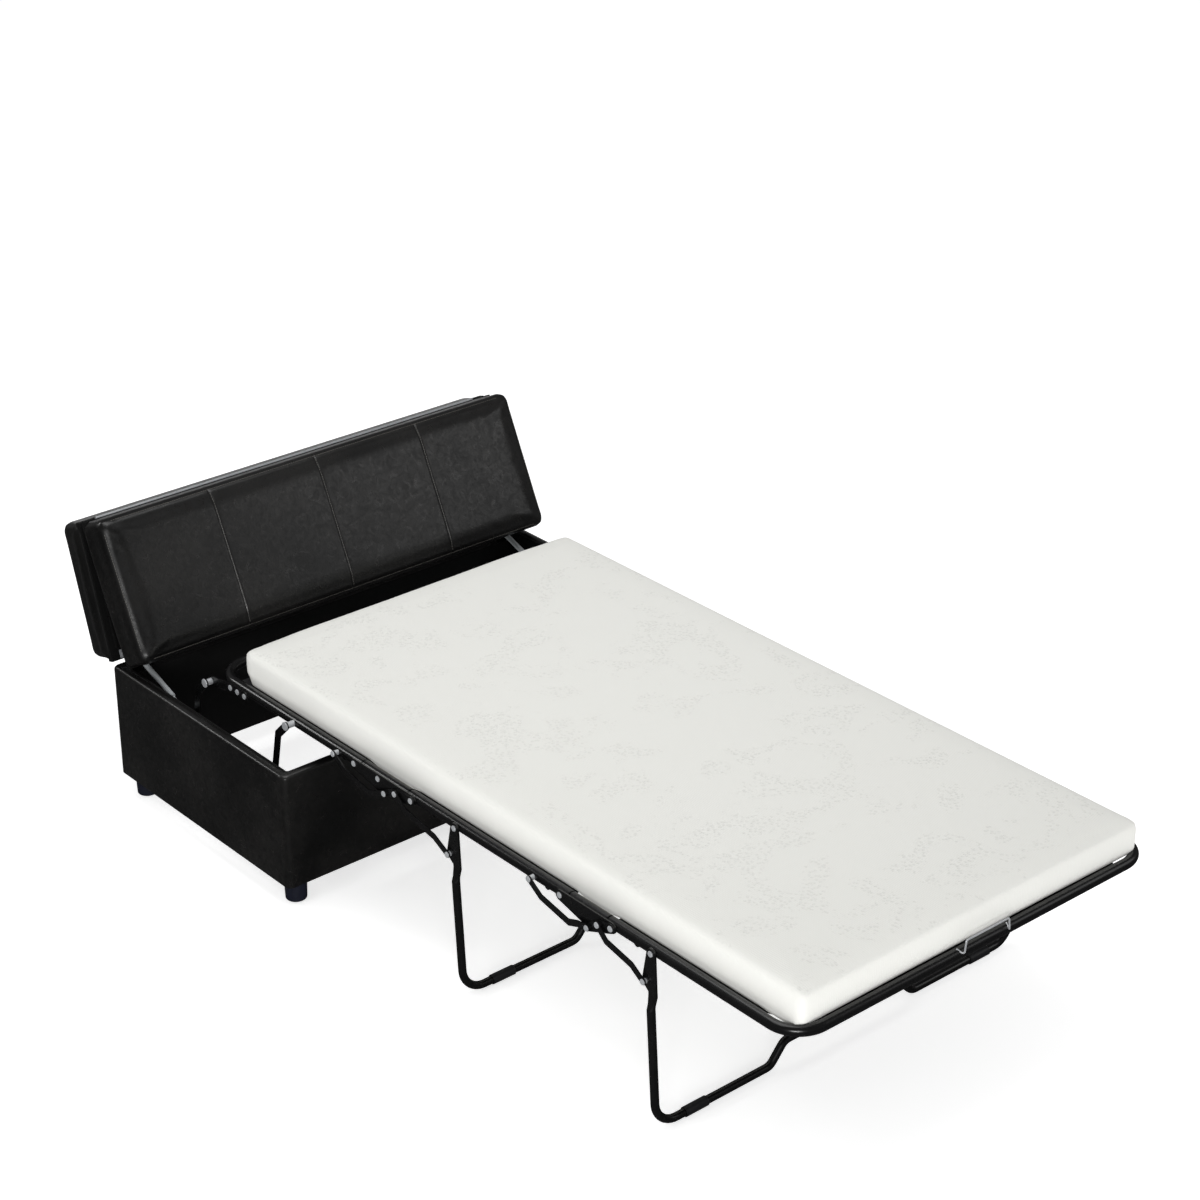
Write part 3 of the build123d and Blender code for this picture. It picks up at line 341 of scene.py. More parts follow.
def twin(model, name=None):
    """A copy of a piece with its own mesh."""
    copied = model.copy()
    copied.data = model.data.copy()
    bpy.context.collection.objects.link(copied)
    if name:
        copied.name = name
        copied.data.name = name
    return copied


def pick_edges(piece, test):
    """In edit mode, selects the edges whose two ends pass the test."""
    mesh = bmesh.from_edit_mesh(piece.data)
    for part in (mesh.faces, mesh.edges, mesh.verts):
        for element in part:
            element.select = False
    for edge in mesh.edges:
        if test(edge.verts[0].co, edge.verts[1].co):
            edge.select = True
    mesh.select_flush(True)
    bmesh.update_edit_mesh(piece.data)


def bevel_edges(piece, test, radius, segments):
    activate(piece)
    bpy.ops.object.mode_set(mode="EDIT")
    bpy.ops.mesh.select_mode(type="EDGE")
    pick_edges(piece, test)
    bpy.ops.mesh.bevel(offset=radius, offset_type="OFFSET", segments=segments, affect="EDGES", profile=0.5)
    bpy.ops.object.mode_set(mode="OBJECT")


def upright(a, b):
    return abs(a.z - b.z) > 10 * NEAR and abs(a.x - b.x) < NEAR and abs(a.y - b.y) < NEAR


def level_at(height):
    return lambda a, b: abs(a.z - height) < NEAR and abs(b.z - height) < NEAR


def apply_modifiers(piece):
    activate(piece)
    for modifier in list(piece.modifiers):
        bpy.ops.object.modifier_apply(modifier=modifier.name)


def remeshed(piece, voxel):
    modifier = piece.modifiers.new("Remesh", "REMESH")
    modifier.mode = "VOXEL"
    modifier.voxel_size = voxel
    apply_modifiers(piece)


def subdivided(piece, levels):
    modifier = piece.modifiers.new("Subdivision", "SUBSURF")
    modifier.levels = levels
    modifier.render_levels = levels
    apply_modifiers(piece)


def solidified(piece, thickness, offset):
    modifier = piece.modifiers.new("Solidify", "SOLIDIFY")
    modifier.thickness = thickness
    modifier.offset = offset
    apply_modifiers(piece)


def inflated(piece, pressure, cap, held, frames):
    """Blows a closed form up as cloth. held(point) says which points the cloth is fixed at,
    and no point moves further than cap."""
    start = [vertex.co.copy() for vertex in piece.data.vertices]
    group = piece.vertex_groups.new(name="held")
    group.add([vertex.index for vertex in piece.data.vertices if held(vertex.co)], 1.0, "REPLACE")
    cloth = piece.modifiers.new("Cloth", "CLOTH")
    cloth.settings.use_pressure = True
    cloth.settings.uniform_pressure_force = pressure
    cloth.settings.vertex_group_mass = "held"
    cloth.settings.quality = CLOTH_QUALITY
    cloth.settings.tension_stiffness = CLOTH_STIFFNESS
    cloth.settings.compression_stiffness = CLOTH_STIFFNESS
    cloth.settings.effector_weights.gravity = 0
    cloth.collision_settings.use_collision = False
    cloth.point_cache.frame_start = 1
    cloth.point_cache.frame_end = frames
    for number in range(1, frames + 1):
        bpy.context.scene.frame_set(number)
    apply_modifiers(piece)
    piece.vertex_groups.clear()
    for vertex, old in zip(piece.data.vertices, start):
        step = vertex.co - old
        if step.length > cap:
            vertex.co = old + step.normalized() * cap
    bpy.context.scene.frame_set(1)


def cut_lines(piece, direction, places):
    """Adds edge loops across a mesh where planes at right angles to direction meet it."""
    activate(piece)
    bpy.ops.object.mode_set(mode="EDIT")
    for place in places:
        bpy.ops.mesh.select_all(action="SELECT")
        bpy.ops.mesh.bisect(plane_co=Vector(direction) * place, plane_no=direction)
    bpy.ops.object.mode_set(mode="OBJECT")


def smooth(piece, degrees):
    activate(piece)
    bpy.ops.object.shade_smooth_by_angle(angle=math.radians(degrees))


def dress(piece, material):
    piece.data.materials.clear()
    piece.data.materials.append(material)


def copies(model, places, name):
    """One mesh piece from copies of a small model at the given matrices; the model goes."""
    parts = []
    for place in places:
        part = twin(model)
        part.data.transform(place)
        parts.append(part)
    bpy.data.objects.remove(model)
    deselect()
    for part in parts:
        part.select_set(True)
    bpy.context.view_layer.objects.active = parts[0]
    bpy.ops.object.join()
    return named(name)


# Materials


@made_once
def coated_leather():
    """Bonded leather: a polyurethane skin, embossed with a fine pebble and buffed by hand, so its roughness
    has short cloudy streaks that run every way, and soft bright rims. The base colour follows the same
    streaks in broad patches, lighter where they stand in for reflections: this is painted sheen."""
    settings = bpy.context.scene.ottoman_leather
    made, tree, place = new_material("coated_leather")
    streak_and_painted_sheen = add_node(tree, "ShaderNodeTexNoise",
                      {"Scale": 1 / (19.23 * MM), "Detail": 8.0, "Roughness": 0.7, "Distortion": 1.3},
                      {"Vector": place})
    painted_sheen_patch = add_node(tree, "ShaderNodeTexNoise", {"Scale": 1 / (250 * MM), "Detail": 3.0}, {"Vector": place})
    both = add_node(tree, "ShaderNodeMath", {"operation": "MULTIPLY"},
                    {0: streak_and_painted_sheen.outputs[0], 1: painted_sheen_patch.outputs[0]})
    painted_sheen_mask = add_node(tree, "ShaderNodeMapRange", {"From Min": 0.17, "From Max": 0.36},
                      {"Value": both.outputs[0]})
    # painted sheen: the colour runs from near black up to the leather colour along the streaks and patches,
    # in place of mottled reflections
    tint = add_node(tree, "ShaderNodeMix",
                    {"data_type": "RGBA", MIX_A: linear("#040404"), MIX_B: linear(settings.colour)},
                    {0: painted_sheen_mask.outputs[0]})
    rough = add_node(tree, "ShaderNodeMapRange",
                     {"From Min": 0.35, "From Max": 0.65, "To Min": 0.46, "To Max": 0.26},
                     {"Value": streak_and_painted_sheen.outputs[0]})
    pebble = add_node(tree, "ShaderNodeTexVoronoi",
                      {"feature": "DISTANCE_TO_EDGE", "Scale": 1 / settings.grain}, {"Vector": place})
    fine = add_node(tree, "ShaderNodeBump", {"Strength": 0.2, "Distance": 0.25 * MM},
                    {"Height": pebble.outputs[0]})
    coarse = add_node(tree, "ShaderNodeBump", {"Strength": 0.4, "Distance": 0.9 * MM},
                      {"Height": streak_and_painted_sheen.outputs[0], "Normal": fine.outputs[0]})
    shader = add_node(tree, "ShaderNodeBsdfPrincipled",
                      {"IOR": 1.5, "Coat Weight": 0.15, "Coat Roughness": 0.22},
                      {"Base Color": tint.outputs[MIXED], "Roughness": rough.outputs[0],
                       "Normal": coarse.outputs[0]})
    return finished(made, shader)


@made_once
def powder_coat():
    """Gloss powder coat on steel tube: black, with a faint orange peel."""
    settings = bpy.context.scene.ottoman_finish
    made, tree, place = new_material("powder_coat")
    cloud = add_node(tree, "ShaderNodeTexNoise", {"Scale": 1 / (25 * MM), "Detail": 3.0}, {"Vector": place})
    tint = add_node(tree, "ShaderNodeMix",
                    {"data_type": "RGBA", MIX_A: linear("#080808"), MIX_B: linear(settings.frame)},
                    {0: cloud.outputs[0]})
    rough = add_node(tree, "ShaderNodeMapRange", {"To Min": 0.22, "To Max": 0.3}, {"Value": cloud.outputs[0]})
    peel = add_node(tree, "ShaderNodeTexNoise", {"Scale": 1 / (2.381 * MM), "Detail": 2.0}, {"Vector": place})
    bump = add_node(tree, "ShaderNodeBump", {"Strength": 0.05, "Distance": 0.1 * MM},
                    {"Height": peel.outputs[0]})
    shader = add_node(tree, "ShaderNodeBsdfPrincipled", {"IOR": 1.5},
                      {"Base Color": tint.outputs[MIXED], "Roughness": rough.outputs[0],
                       "Normal": bump.outputs[0]})
    return finished(made, shader)


@made_once
def zinc_plate():
    """Bright zinc plating on pressed steel: pale grey metal with a slight crystalline haze, drawn
    coarser than it is so that it shows."""
    settings = bpy.context.scene.ottoman_finish
    made, tree, place = new_material("zinc_plate")
    cell = add_node(tree, "ShaderNodeTexVoronoi", {"Scale": 1 / (3.333 * MM)}, {"Vector": place})
    haze = add_node(tree, "ShaderNodeTexNoise", {"Scale": 1 / (11.11 * MM), "Detail": 2.0}, {"Vector": place})
    tint = add_node(tree, "ShaderNodeMix",
                    {"data_type": "RGBA", MIX_A: linear("#B4B7BA"), MIX_B: linear(settings.zinc)},
                    {0: haze.outputs[0]})
    rough = add_node(tree, "ShaderNodeMapRange", {"To Min": 0.26, "To Max": 0.36}, {"Value": cell.outputs[0]})
    shader = add_node(tree, "ShaderNodeBsdfPrincipled", {"Metallic": 0.45},
                      {"Base Color": tint.outputs[MIXED], "Roughness": rough.outputs[0]})
    return finished(made, shader)


@made_once
def spring_enamel():
    """Silver-grey enamel on the gas springs: a smooth paint with a fine metallic fleck."""
    settings = bpy.context.scene.ottoman_finish
    made, tree, place = new_material("spring_enamel")
    fleck = add_node(tree, "ShaderNodeTexNoise", {"Scale": 1 / (1.111 * MM), "Detail": 1.0},
                     {"Vector": place})
    tint = add_node(tree, "ShaderNodeMix",
                    {"data_type": "RGBA", MIX_A: linear("#A9AEB1"), MIX_B: linear(settings.spring)},
                    {0: fleck.outputs[0]})
    rough = add_node(tree, "ShaderNodeMapRange", {"To Min": 0.24, "To Max": 0.34},
                     {"Value": fleck.outputs[0]})
    shader = add_node(tree, "ShaderNodeBsdfPrincipled", {"Metallic": 0.05},
                      {"Base Color": tint.outputs[MIXED], "Roughness": rough.outputs[0]})
    return finished(made, shader)


@made_once
def moulded_plastic(name, tone):
    """Injection moulded polypropylene: an even satin with a spark-eroded texture."""
    made, tree, place = new_material(name)
    spark = add_node(tree, "ShaderNodeTexNoise", {"Scale": 1 / (1.538 * MM), "Detail": 3.0},
                     {"Vector": place})
    tint = add_node(tree, "ShaderNodeMix",
                    {"data_type": "RGBA", MIX_A: linear("#0C0D12"), MIX_B: linear(tone)},
                    {0: spark.outputs[0]})
    rough = add_node(tree, "ShaderNodeMapRange", {"To Min": 0.38, "To Max": 0.55},
                     {"Value": spark.outputs[0]})
    bump = add_node(tree, "ShaderNodeBump", {"Strength": 0.2, "Distance": 0.2 * MM},
                    {"Height": spark.outputs[0]})
    shader = add_node(tree, "ShaderNodeBsdfPrincipled", {"IOR": 1.49},
                      {"Base Color": tint.outputs[MIXED], "Roughness": rough.outputs[0],
                       "Normal": bump.outputs[0]})
    return finished(made, shader)


@made_once
def lining_cloth():
    """Spun-bonded lining on the boards: matt black felt with pressed dots, 3 mm apart."""
    settings = bpy.context.scene.ottoman_finish
    made, tree, place = new_material("lining_cloth")
    fibre = add_node(tree, "ShaderNodeTexNoise",
                     {"Scale": 1 / (3.846 * MM), "Detail": 6.0, "Roughness": 0.7}, {"Vector": place})
    dots = add_node(tree, "ShaderNodeTexVoronoi", {"Scale": 1 / (3.03 * MM), "Randomness": 0.15},
                    {"Vector": place})
    tint = add_node(tree, "ShaderNodeMix",
                    {"data_type": "RGBA", MIX_A: linear("#070707"), MIX_B: linear(settings.lining)},
                    {0: fibre.outputs[0]})
    bump = add_node(tree, "ShaderNodeBump", {"Strength": 0.4, "Distance": 0.3 * MM},
                    {"Height": dots.outputs[0]})
    shader = add_node(tree, "ShaderNodeBsdfPrincipled", {"Roughness": 0.85, "Specular IOR Level": 0.25},
                      {"Base Color": tint.outputs[MIXED], "Normal": bump.outputs[0]})
    return finished(made, shader)


@made_once
def woven_deck():
    """Woven polypropylene deck cloth: flat tapes 3 mm wide, over and under."""
    settings = bpy.context.scene.ottoman_finish
    made, tree, place = new_material("woven_deck")
    scale = WAVE / (2 * 3.021 * MM)
    across = add_node(tree, "ShaderNodeTexWave", {"bands_direction": "X", "Scale": scale}, {"Vector": place})
    along = add_node(tree, "ShaderNodeTexWave", {"bands_direction": "Y", "Scale": scale}, {"Vector": place})
    weave = add_node(tree, "ShaderNodeMath", {"operation": "MAXIMUM"},
                     {0: across.outputs["Fac"], 1: along.outputs["Fac"]})
    tint = add_node(tree, "ShaderNodeMix",
                    {"data_type": "RGBA", MIX_A: linear("#0A0A0B"), MIX_B: linear(settings.deck)},
                    {0: weave.outputs[0]})
    bump = add_node(tree, "ShaderNodeBump", {"Strength": 0.5, "Distance": 0.5 * MM},
                    {"Height": weave.outputs[0]})
    shader = add_node(tree, "ShaderNodeBsdfPrincipled", {"Roughness": 0.62},
                      {"Base Color": tint.outputs[MIXED], "Normal": bump.outputs[0]})
    return finished(made, shader)


@made_once
def sewing_thread():
    """Twisted polyester thread with a slight sheen."""
    settings = bpy.context.scene.ottoman_leather
    made, tree, place = new_material("sewing_thread")
    twist = add_node(tree, "ShaderNodeTexNoise", {"Scale": 1 / (0.8333 * MM)}, {"Vector": place})
    tint = add_node(tree, "ShaderNodeMix",
                    {"data_type": "RGBA", MIX_A: linear("#4B4944"), MIX_B: linear(settings.thread)},
                    {0: twist.outputs[0]})
    shader = add_node(tree, "ShaderNodeBsdfPrincipled", {"Roughness": 0.5, "Sheen Weight": 0.3},
                      {"Base Color": tint.outputs[MIXED]})
    return finished(made, shader)


@made_once
def knit_ticking():
    """Double knit polyester ticking: fine ribs along the bed, and small pressed dots that gather in loose
    drifts on the top, with painted shade that colours their dents a little darker. The ribs are drawn coarser
    than they are, so that they show."""
    settings = bpy.context.scene.ottoman_mattress
    made, tree, place = new_material("knit_ticking")
    knit = {"Scale": WAVE / settings.rib, "Distortion": 0.4, "Detail": 1.0}
    ribs = add_node(tree, "ShaderNodeTexWave", {"bands_direction": "X", **knit}, {"Vector": place})
    rows = add_node(tree, "ShaderNodeTexWave", {"bands_direction": "Y", **knit}, {"Vector": place})
    geometry = add_node(tree, "ShaderNodeNewGeometry")
    facing = add_node(tree, "ShaderNodeSeparateXYZ", {}, {"Vector": geometry.outputs["Normal"]})
    top = add_node(tree, "ShaderNodeMapRange", {"From Min": 0.75, "From Max": 0.95},
                   {"Value": facing.outputs["Z"]})
    end = add_node(tree, "ShaderNodeMath", {"operation": "ABSOLUTE"}, {0: facing.outputs["X"]})
    side = add_node(tree, "ShaderNodeMix", {},
                    {0: end.outputs[0], 2: ribs.outputs["Fac"], 3: rows.outputs["Fac"]})
    height = add_node(tree, "ShaderNodeMix", {},
                      {0: top.outputs[0], 2: side.outputs[0], 3: ribs.outputs["Fac"]})
    drift = add_node(tree, "ShaderNodeTexNoise",
                     {"Scale": 1 / (181.8 * MM), "Detail": 3.0, "Roughness": 0.6, "Distortion": 1.5},
                     {"Vector": place})
    area = add_node(tree, "ShaderNodeMapRange", {"From Min": 0.52, "From Max": 0.58},
                    {"Value": drift.outputs[0]})
    spots = add_node(tree, "ShaderNodeTexVoronoi", {"Scale": 1 / (9.524 * MM), "Randomness": 0.85},
                     {"Vector": place})
    pit = add_node(tree, "ShaderNodeMapRange",
                   {"From Min": 0.15, "From Max": 0.5, "To Min": 1.0, "To Max": 0.0},
                   {"Value": spots.outputs[0]})
    placed = add_node(tree, "ShaderNodeMath", {"operation": "MULTIPLY"},
                      {0: pit.outputs[0], 1: area.outputs[0]})
    dents_and_painted_shade = add_node(tree, "ShaderNodeMath", {"operation": "MULTIPLY"},
                       {0: placed.outputs[0], 1: top.outputs[0]})
    # painted shade: the pressed dots take a slightly darker colour, as the shade in their dents; the dent
    # bump below is real relief
    painted_dent_shade = add_node(tree, "ShaderNodeMix",
                     {"data_type": "RGBA", MIX_A: linear(settings.colour), MIX_B: linear("#E4E4DF")},
                     {0: dents_and_painted_shade.outputs[0]})
    fine = add_node(tree, "ShaderNodeBump", {"Strength": 0.35, "Distance": 0.8 * MM},
                    {"Height": height.outputs[0]})
    dent = add_node(tree, "ShaderNodeBump", {"Strength": 0.55, "Distance": 1.6 * MM, "invert": True},
                    {"Height": dents_and_painted_shade.outputs[0], "Normal": fine.outputs[0]})
    shader = add_node(tree, "ShaderNodeBsdfPrincipled",
                      {"Roughness": 0.82, "Sheen Weight": 0.15, "Specular IOR Level": 0.3},
                      {"Base Color": painted_dent_shade.outputs[MIXED], "Normal": dent.outputs[0]})
    return finished(made, shader)


# Pieces


FINISHES = {
    powder_coat: ("head_loop", "head_cross_bar", "middle_rails", "middle_cross_bars", "foot_loop",
                  "foot_cross_bar", "lift_links_front", "lift_links_rear", "lift_brackets", "lift_plates",
                  "leg_1", "leg_2", "spacer_tubes_1", "spacer_tubes_2", "hinge_plates_1", "hinge_plates_2",
                  "bell_cranks_1", "bell_cranks_2", "control_links_1", "control_links_2",
                  "braces_1", "braces_2"),
    zinc_plate: ("head_studs", "middle_studs", "foot_studs", "foot_wire", "base_hinge_leaf",
                 "base_hinge_pin", "rear_lid_hinge_leaf", "fold_hinge_leaf_rear", "fold_hinge_pin",
                 "fold_hinge_leaf_front", "gas_base_brackets", "gas_lid_brackets", "hinge_pins_1",
                 "hinge_pins_2", "control_link_rivets_1", "control_link_rivets_2", "brace_rivets_1",
                 "brace_rivets_2", "brace_studs_1", "brace_studs_2"),
    spring_enamel: ("gas_cylinders", "gas_rods"),
    lining_cloth: ("base_front_board", "base_back_board", "base_side_boards", "base_corner_blocks",
                   "rear_lid_board", "front_lid_board"),
}


class OTTOMAN_OT_finishes(bpy.types.Operator):
    """Gives the steel, plastic and board pieces of the frame their finishes"""
    bl_idname = "ottoman.finishes"
    bl_label = "Frame Finishes"

    def execute(self, context):
        settings = context.scene.ottoman_finish
        for finish, names in FINISHES.items():
            for name in names:
                dress(frame["nodes"][name], finish())
        dress(frame["nodes"]["base_feet"], moulded_plastic("navy_foot", settings.foot))
        for name in ("leg_pads_1", "leg_pads_2"):
            dress(frame["nodes"][name], moulded_plastic("black_sleeve", "#1C1C1D"))
        return {"FINISHED"}


def seam_dip(point, seams, half_depth, depth):
    """How far a seam draws the leather down at a point: deepest on the line, fading at its ends."""
    near = min(abs(point.x - seam) for seam in seams)
    fade = max(0.0, min(1.0, (half_depth - abs(point.y)) / SEAM_FADE))
    crease = CREASE_SHARE * math.exp(-(near / SEAM_REACH) ** 2)
    dish = DISH_SHARE * math.exp(-(near / (DISH_WIDTHS * SEAM_REACH)) ** 2)
    return depth * fade * (crease + dish)


def stitch_model():
    """One stitch lying along Y: a short round thread with tucked ends."""
    settings = bpy.context.scene.ottoman_leather
    deselect()
    bpy.ops.mesh.primitive_cylinder_add(vertices=THREAD_SIDES, radius=THREAD_RADIUS,
                                        depth=settings.stitch * THREAD_SHARE)
    model = named("stitch")
    bpy.ops.object.mode_set(mode="EDIT")
    bpy.ops.mesh.select_all(action="SELECT")
    bpy.ops.mesh.bevel(offset=THREAD_TUCK, segments=1, affect="EDGES")
    bpy.ops.object.mode_set(mode="OBJECT")
    model.data.transform(Matrix.Rotation(math.radians(90), 4, "X"))
    return model


def on_surface(piece, x, y, turn, lift):
    """The matrix that lays a stitch on the upper face of a piece at (x, y)."""
    hit, point, normal, _ = piece.ray_cast(Vector((x, y, RAY_HEIGHT)), Vector((0, 0, -1)))
    if not hit:
        return None
    lean = Vector((0, 0, 1)).rotation_difference(normal).to_matrix().to_4x4()
    return Matrix.Translation(point + normal * lift) @ lean @ Matrix.Rotation(turn, 4, "Z")


def run_of_stitches(piece, first, last):
    pitch = bpy.context.scene.ottoman_leather.stitch
    span = Vector(last) - Vector(first)
    turn = math.atan2(-span.x, span.y)
    places = []
    for index in range(int(span.length / pitch)):
        point = Vector(first) + span.normalized() * pitch * (index + 0.5)
        place = on_surface(piece, point.x, point.y, turn, THREAD_LIFT)
        if place:
            places.append(place)
    return places


def cushion_body(name, width, depth, seams):
    """A soft panel lying face up: a flat back, swollen sides, a rounded rim and sewn channels."""
    settings = bpy.context.scene.ottoman_leather
    thick = CUSHION_THICK - CUSHION_CROWN
    piece = add_cube(name, (width, depth, thick), (0, 0, thick / 2))
    bevel_edges(piece, upright, settings.corner, CORNER_STEPS)
    bevel_edges(piece, level_at(thick), settings.rim, RIM_STEPS)
    bevel_edges(piece, level_at(0), CUSHION_BACK_EDGE, BACK_STEPS)
    remeshed(piece, CUSHION_VOXEL)
    inflated(piece, CUSHION_PRESSURE, CUSHION_SWELL, lambda p: p.z < CUSHION_HELD, CUSHION_FRAMES)
    subdivided(piece, 1)
    cut_lines(piece, (1, 0, 0), [seam + step * MM for seam in seams for step in SEAM_LOOPS])
    side = width / 2 + CUSHION_SIDE_ROOM
    for vertex in piece.data.vertices:
        if vertex.co.z > CUSHION_THICK * FACE_SHARE:
            vertex.co.z -= seam_dip(vertex.co, seams, depth / 2 - SEAM_END, settings.channel)
        vertex.co.z = min(max(vertex.co.z, 0.0), CUSHION_THICK + CUSHION_FACE_ROOM)
        vertex.co.x = min(max(vertex.co.x, -side), side)
    smooth(piece, LEATHER_SMOOTH)
    return piece


def cushion_stitches(piece, name, width, depth, seams):
    """The thread beside each channel and round the rim."""
    settings = bpy.context.scene.ottoman_leather
    runs = []
    half = depth / 2 - STITCHES_END
    for seam in seams:
        x = seam + STITCHES_ASIDE
        runs += run_of_stitches(piece, (x, -half, 0), (x, half, 0))
    edge_x = width / 2 - settings.rim * RIM_SHARE
    edge_y = depth / 2 - settings.rim * RIM_SHARE
    inner_x = edge_x - settings.corner
    inner_y = edge_y - settings.corner
    for way in (-1, 1):
        runs += run_of_stitches(piece, (-inner_x, way * edge_y, 0), (inner_x, way * edge_y, 0))
        runs += run_of_stitches(piece, (way * edge_x, -inner_y, 0), (way * edge_x, inner_y, 0))
    return copies(stitch_model(), runs, name)


def lid_cushion(name, node, body, depth, place):
    """A foam panel in coated leather that wraps its board, with its stitches."""
    width = BASE_HIGH.x - BASE_LOW.x + 2 * CUSHION_OVERHANG
    seams = [width * share for share in SEAM_SHARES]
    piece = cushion_body(name, width, depth, seams)
    thread = cushion_stitches(piece, name + "_stitches", width, depth, seams)
    for made in (piece, thread):
        made.data.transform(place)
        made.data.update()
    dress(piece, coated_leather())
    dress(thread, sewing_thread())
    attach(piece, body)
    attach(thread, body)
    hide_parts(node)


class OTTOMAN_OT_lid_cushions(bpy.types.Operator):
    """Makes the two upholstered panels of the lid"""
    bl_idname = "ottoman.lid_cushions"
    bl_label = "Lid Cushions"

    def execute(self, context):
        # the panels are laid out along the shut lid, from the fold to their far edges
        fold = self.shut_fold()
        rear_depth = BASE_HIGH.y - fold.y - PANEL_GAP + LEATHER_WRAP + LEATHER_LAP
        front_depth = fold.y - PANEL_GAP - BASE_LOW.y - PANEL_SETBACK + LEATHER_WRAP + LEATHER_LAP
        lift = BASE_HIGH.z - LEATHER_WRAP - fold.z
        turn = Matrix.Translation((0, LID_HINGE.y, LID_HINGE.z)) @ Matrix.Rotation(-LID_OPEN, 4, "X")
        open_up = turn @ Matrix.Translation((0, -LID_HINGE.y, -LID_HINGE.z))
        centre = fold.y + PANEL_GAP - LEATHER_WRAP + rear_depth / 2
        lid_cushion("rear_cushion", "rear_lid_cushion", "lid_rear", rear_depth,
                    open_up @ Matrix.Translation((0, centre, fold.z + lift)))
        hang = Matrix.Translation((0, FOLD_HINGE.y, FOLD_HINGE.z)) @ Matrix.Rotation(PANEL_HANG, 4, "X")
        centre = -PANEL_GAP + LEATHER_WRAP - front_depth / 2
        lid_cushion("front_cushion", "front_lid_cushion", "lid_front", front_depth,
                    hang @ Matrix.Translation((0, centre, lift)))
        return {"FINISHED"}

    def shut_fold(self):
        """The fold hinge's line when the lid is shut."""
        back = Matrix.Rotation(LID_OPEN, 4, "X")
        return LID_HINGE + back @ (FOLD_HINGE - LID_HINGE)


def quarter_bend(radius, count):
    """A quarter circle in steps: how far each leaves its first line, and how far it goes along it."""
    corners = [math.radians(90 / count * index) for index in range(count + 1)]
    return [(radius * (math.cos(first) - math.cos(last)), radius * (math.sin(last) - math.sin(first)))
            for first, last in zip(corners, corners[1:])]


class OTTOMAN_OT_base_cover(bpy.types.Operator):
    """Makes the leather that wraps the base over its top edge"""
    bl_idname = "ottoman.base_cover"
    bl_label = "Base Cover"

    def execute(self, context):
        pad = Vector((BASE_PAD, 0, 0))
        low, high = BASE_LOW - pad, BASE_HIGH + pad
        piece = self.wrapped_wall(low, high)
        self.without_caps(piece)
        solidified(piece, HIDE_THICK, -1)
        self.notch(piece, high)
        smooth(piece, LEATHER_SMOOTH)
        dress(piece, coated_leather())
        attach(piece, "base")
        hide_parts("base_cover")
        return {"FINISHED"}

    def profile(self, height):
        """The steps (inward, up) of the wall in bands, the roll over the rim and the hem inside."""
        steps = [(0, (height - ROLL) / WALL_BANDS)] * WALL_BANDS
        steps += quarter_bend(ROLL, OUTER_BENDS)
        steps += LIP_STEPS
        steps += [(along, -fall) for fall, along in quarter_bend(ROLL, INNER_BENDS)]
        steps += HEM_STEPS
        return steps

    def wrapped_wall(self, low, high):
        """The base's outline with rounded corners, extruded ring by ring along the profile."""
        centre = (low + high) / 2
        deselect()
        bpy.ops.mesh.primitive_plane_add(size=1, location=(centre.x, centre.y, low.z))
        piece = named("base_leather")
        piece.scale = (high.x - low.x, high.y - low.y, 1)
        bpy.ops.object.transform_apply(location=True, rotation=True, scale=True)
        bpy.ops.object.mode_set(mode="EDIT")
        bpy.ops.mesh.select_all(action="SELECT")
        bpy.ops.mesh.bevel(offset=BASE_CORNER, segments=BASE_CORNER_STEPS, affect="VERTICES")
        bpy.ops.mesh.select_all(action="SELECT")
        for inward, rise in self.profile(high.z - low.z + BASE_LIP):
            bpy.ops.mesh.extrude_region_move(TRANSFORM_OT_translate={"value": (0, 0, rise)})
            if inward:
                shares = (1 - 2 * inward / self.span(piece, 0), 1 - 2 * inward / self.span(piece, 1), 1)
                bpy.ops.transform.resize(value=shares, center_override=(centre.x, centre.y, 0))
        bpy.ops.mesh.delete(type="FACE")
        bpy.ops.object.mode_set(mode="OBJECT")
        return piece

    def span(self, piece, axis):
        """The width of the selected ring along an axis, in edit mode."""
        mesh = bmesh.from_edit_mesh(piece.data)
        found = [vertex.co[axis] for vertex in mesh.verts if vertex.select]
        return max(found) - min(found)

    def without_caps(self, piece):
        """Opens the wall's lower end, where the plane that it grew from is left."""
        mesh = bmesh.new()
        mesh.from_mesh(piece.data)
        flat = [face for face in mesh.faces
                if abs(face.normal.z) > CAP_LEVEL and face.calc_area() > CAP_AREA]
        bmesh.ops.delete(mesh, geom=flat, context="FACES_ONLY")
        bmesh.ops.recalc_face_normals(mesh, faces=mesh.faces)
        mesh.to_mesh(piece.data)
        mesh.free()

    def notch(self, piece, high):
        """Clears the rim at the back, where the gas springs' brackets pass."""
        block = add_cube("notch", NOTCH, (0, 0, 0))
        for side in (-1, 1):
            tool = twin(block)
            place = (side * NOTCH_SIDE, high.y - NOTCH_INSET, high.z)
            tool.data.transform(Matrix.Translation(place))
            cut = piece.modifiers.new("Notch", "BOOLEAN")
            cut.object = tool
            cut.solver = "EXACT"
            apply_modifiers(piece)
            bpy.data.objects.remove(tool)
        bpy.data.objects.remove(block)


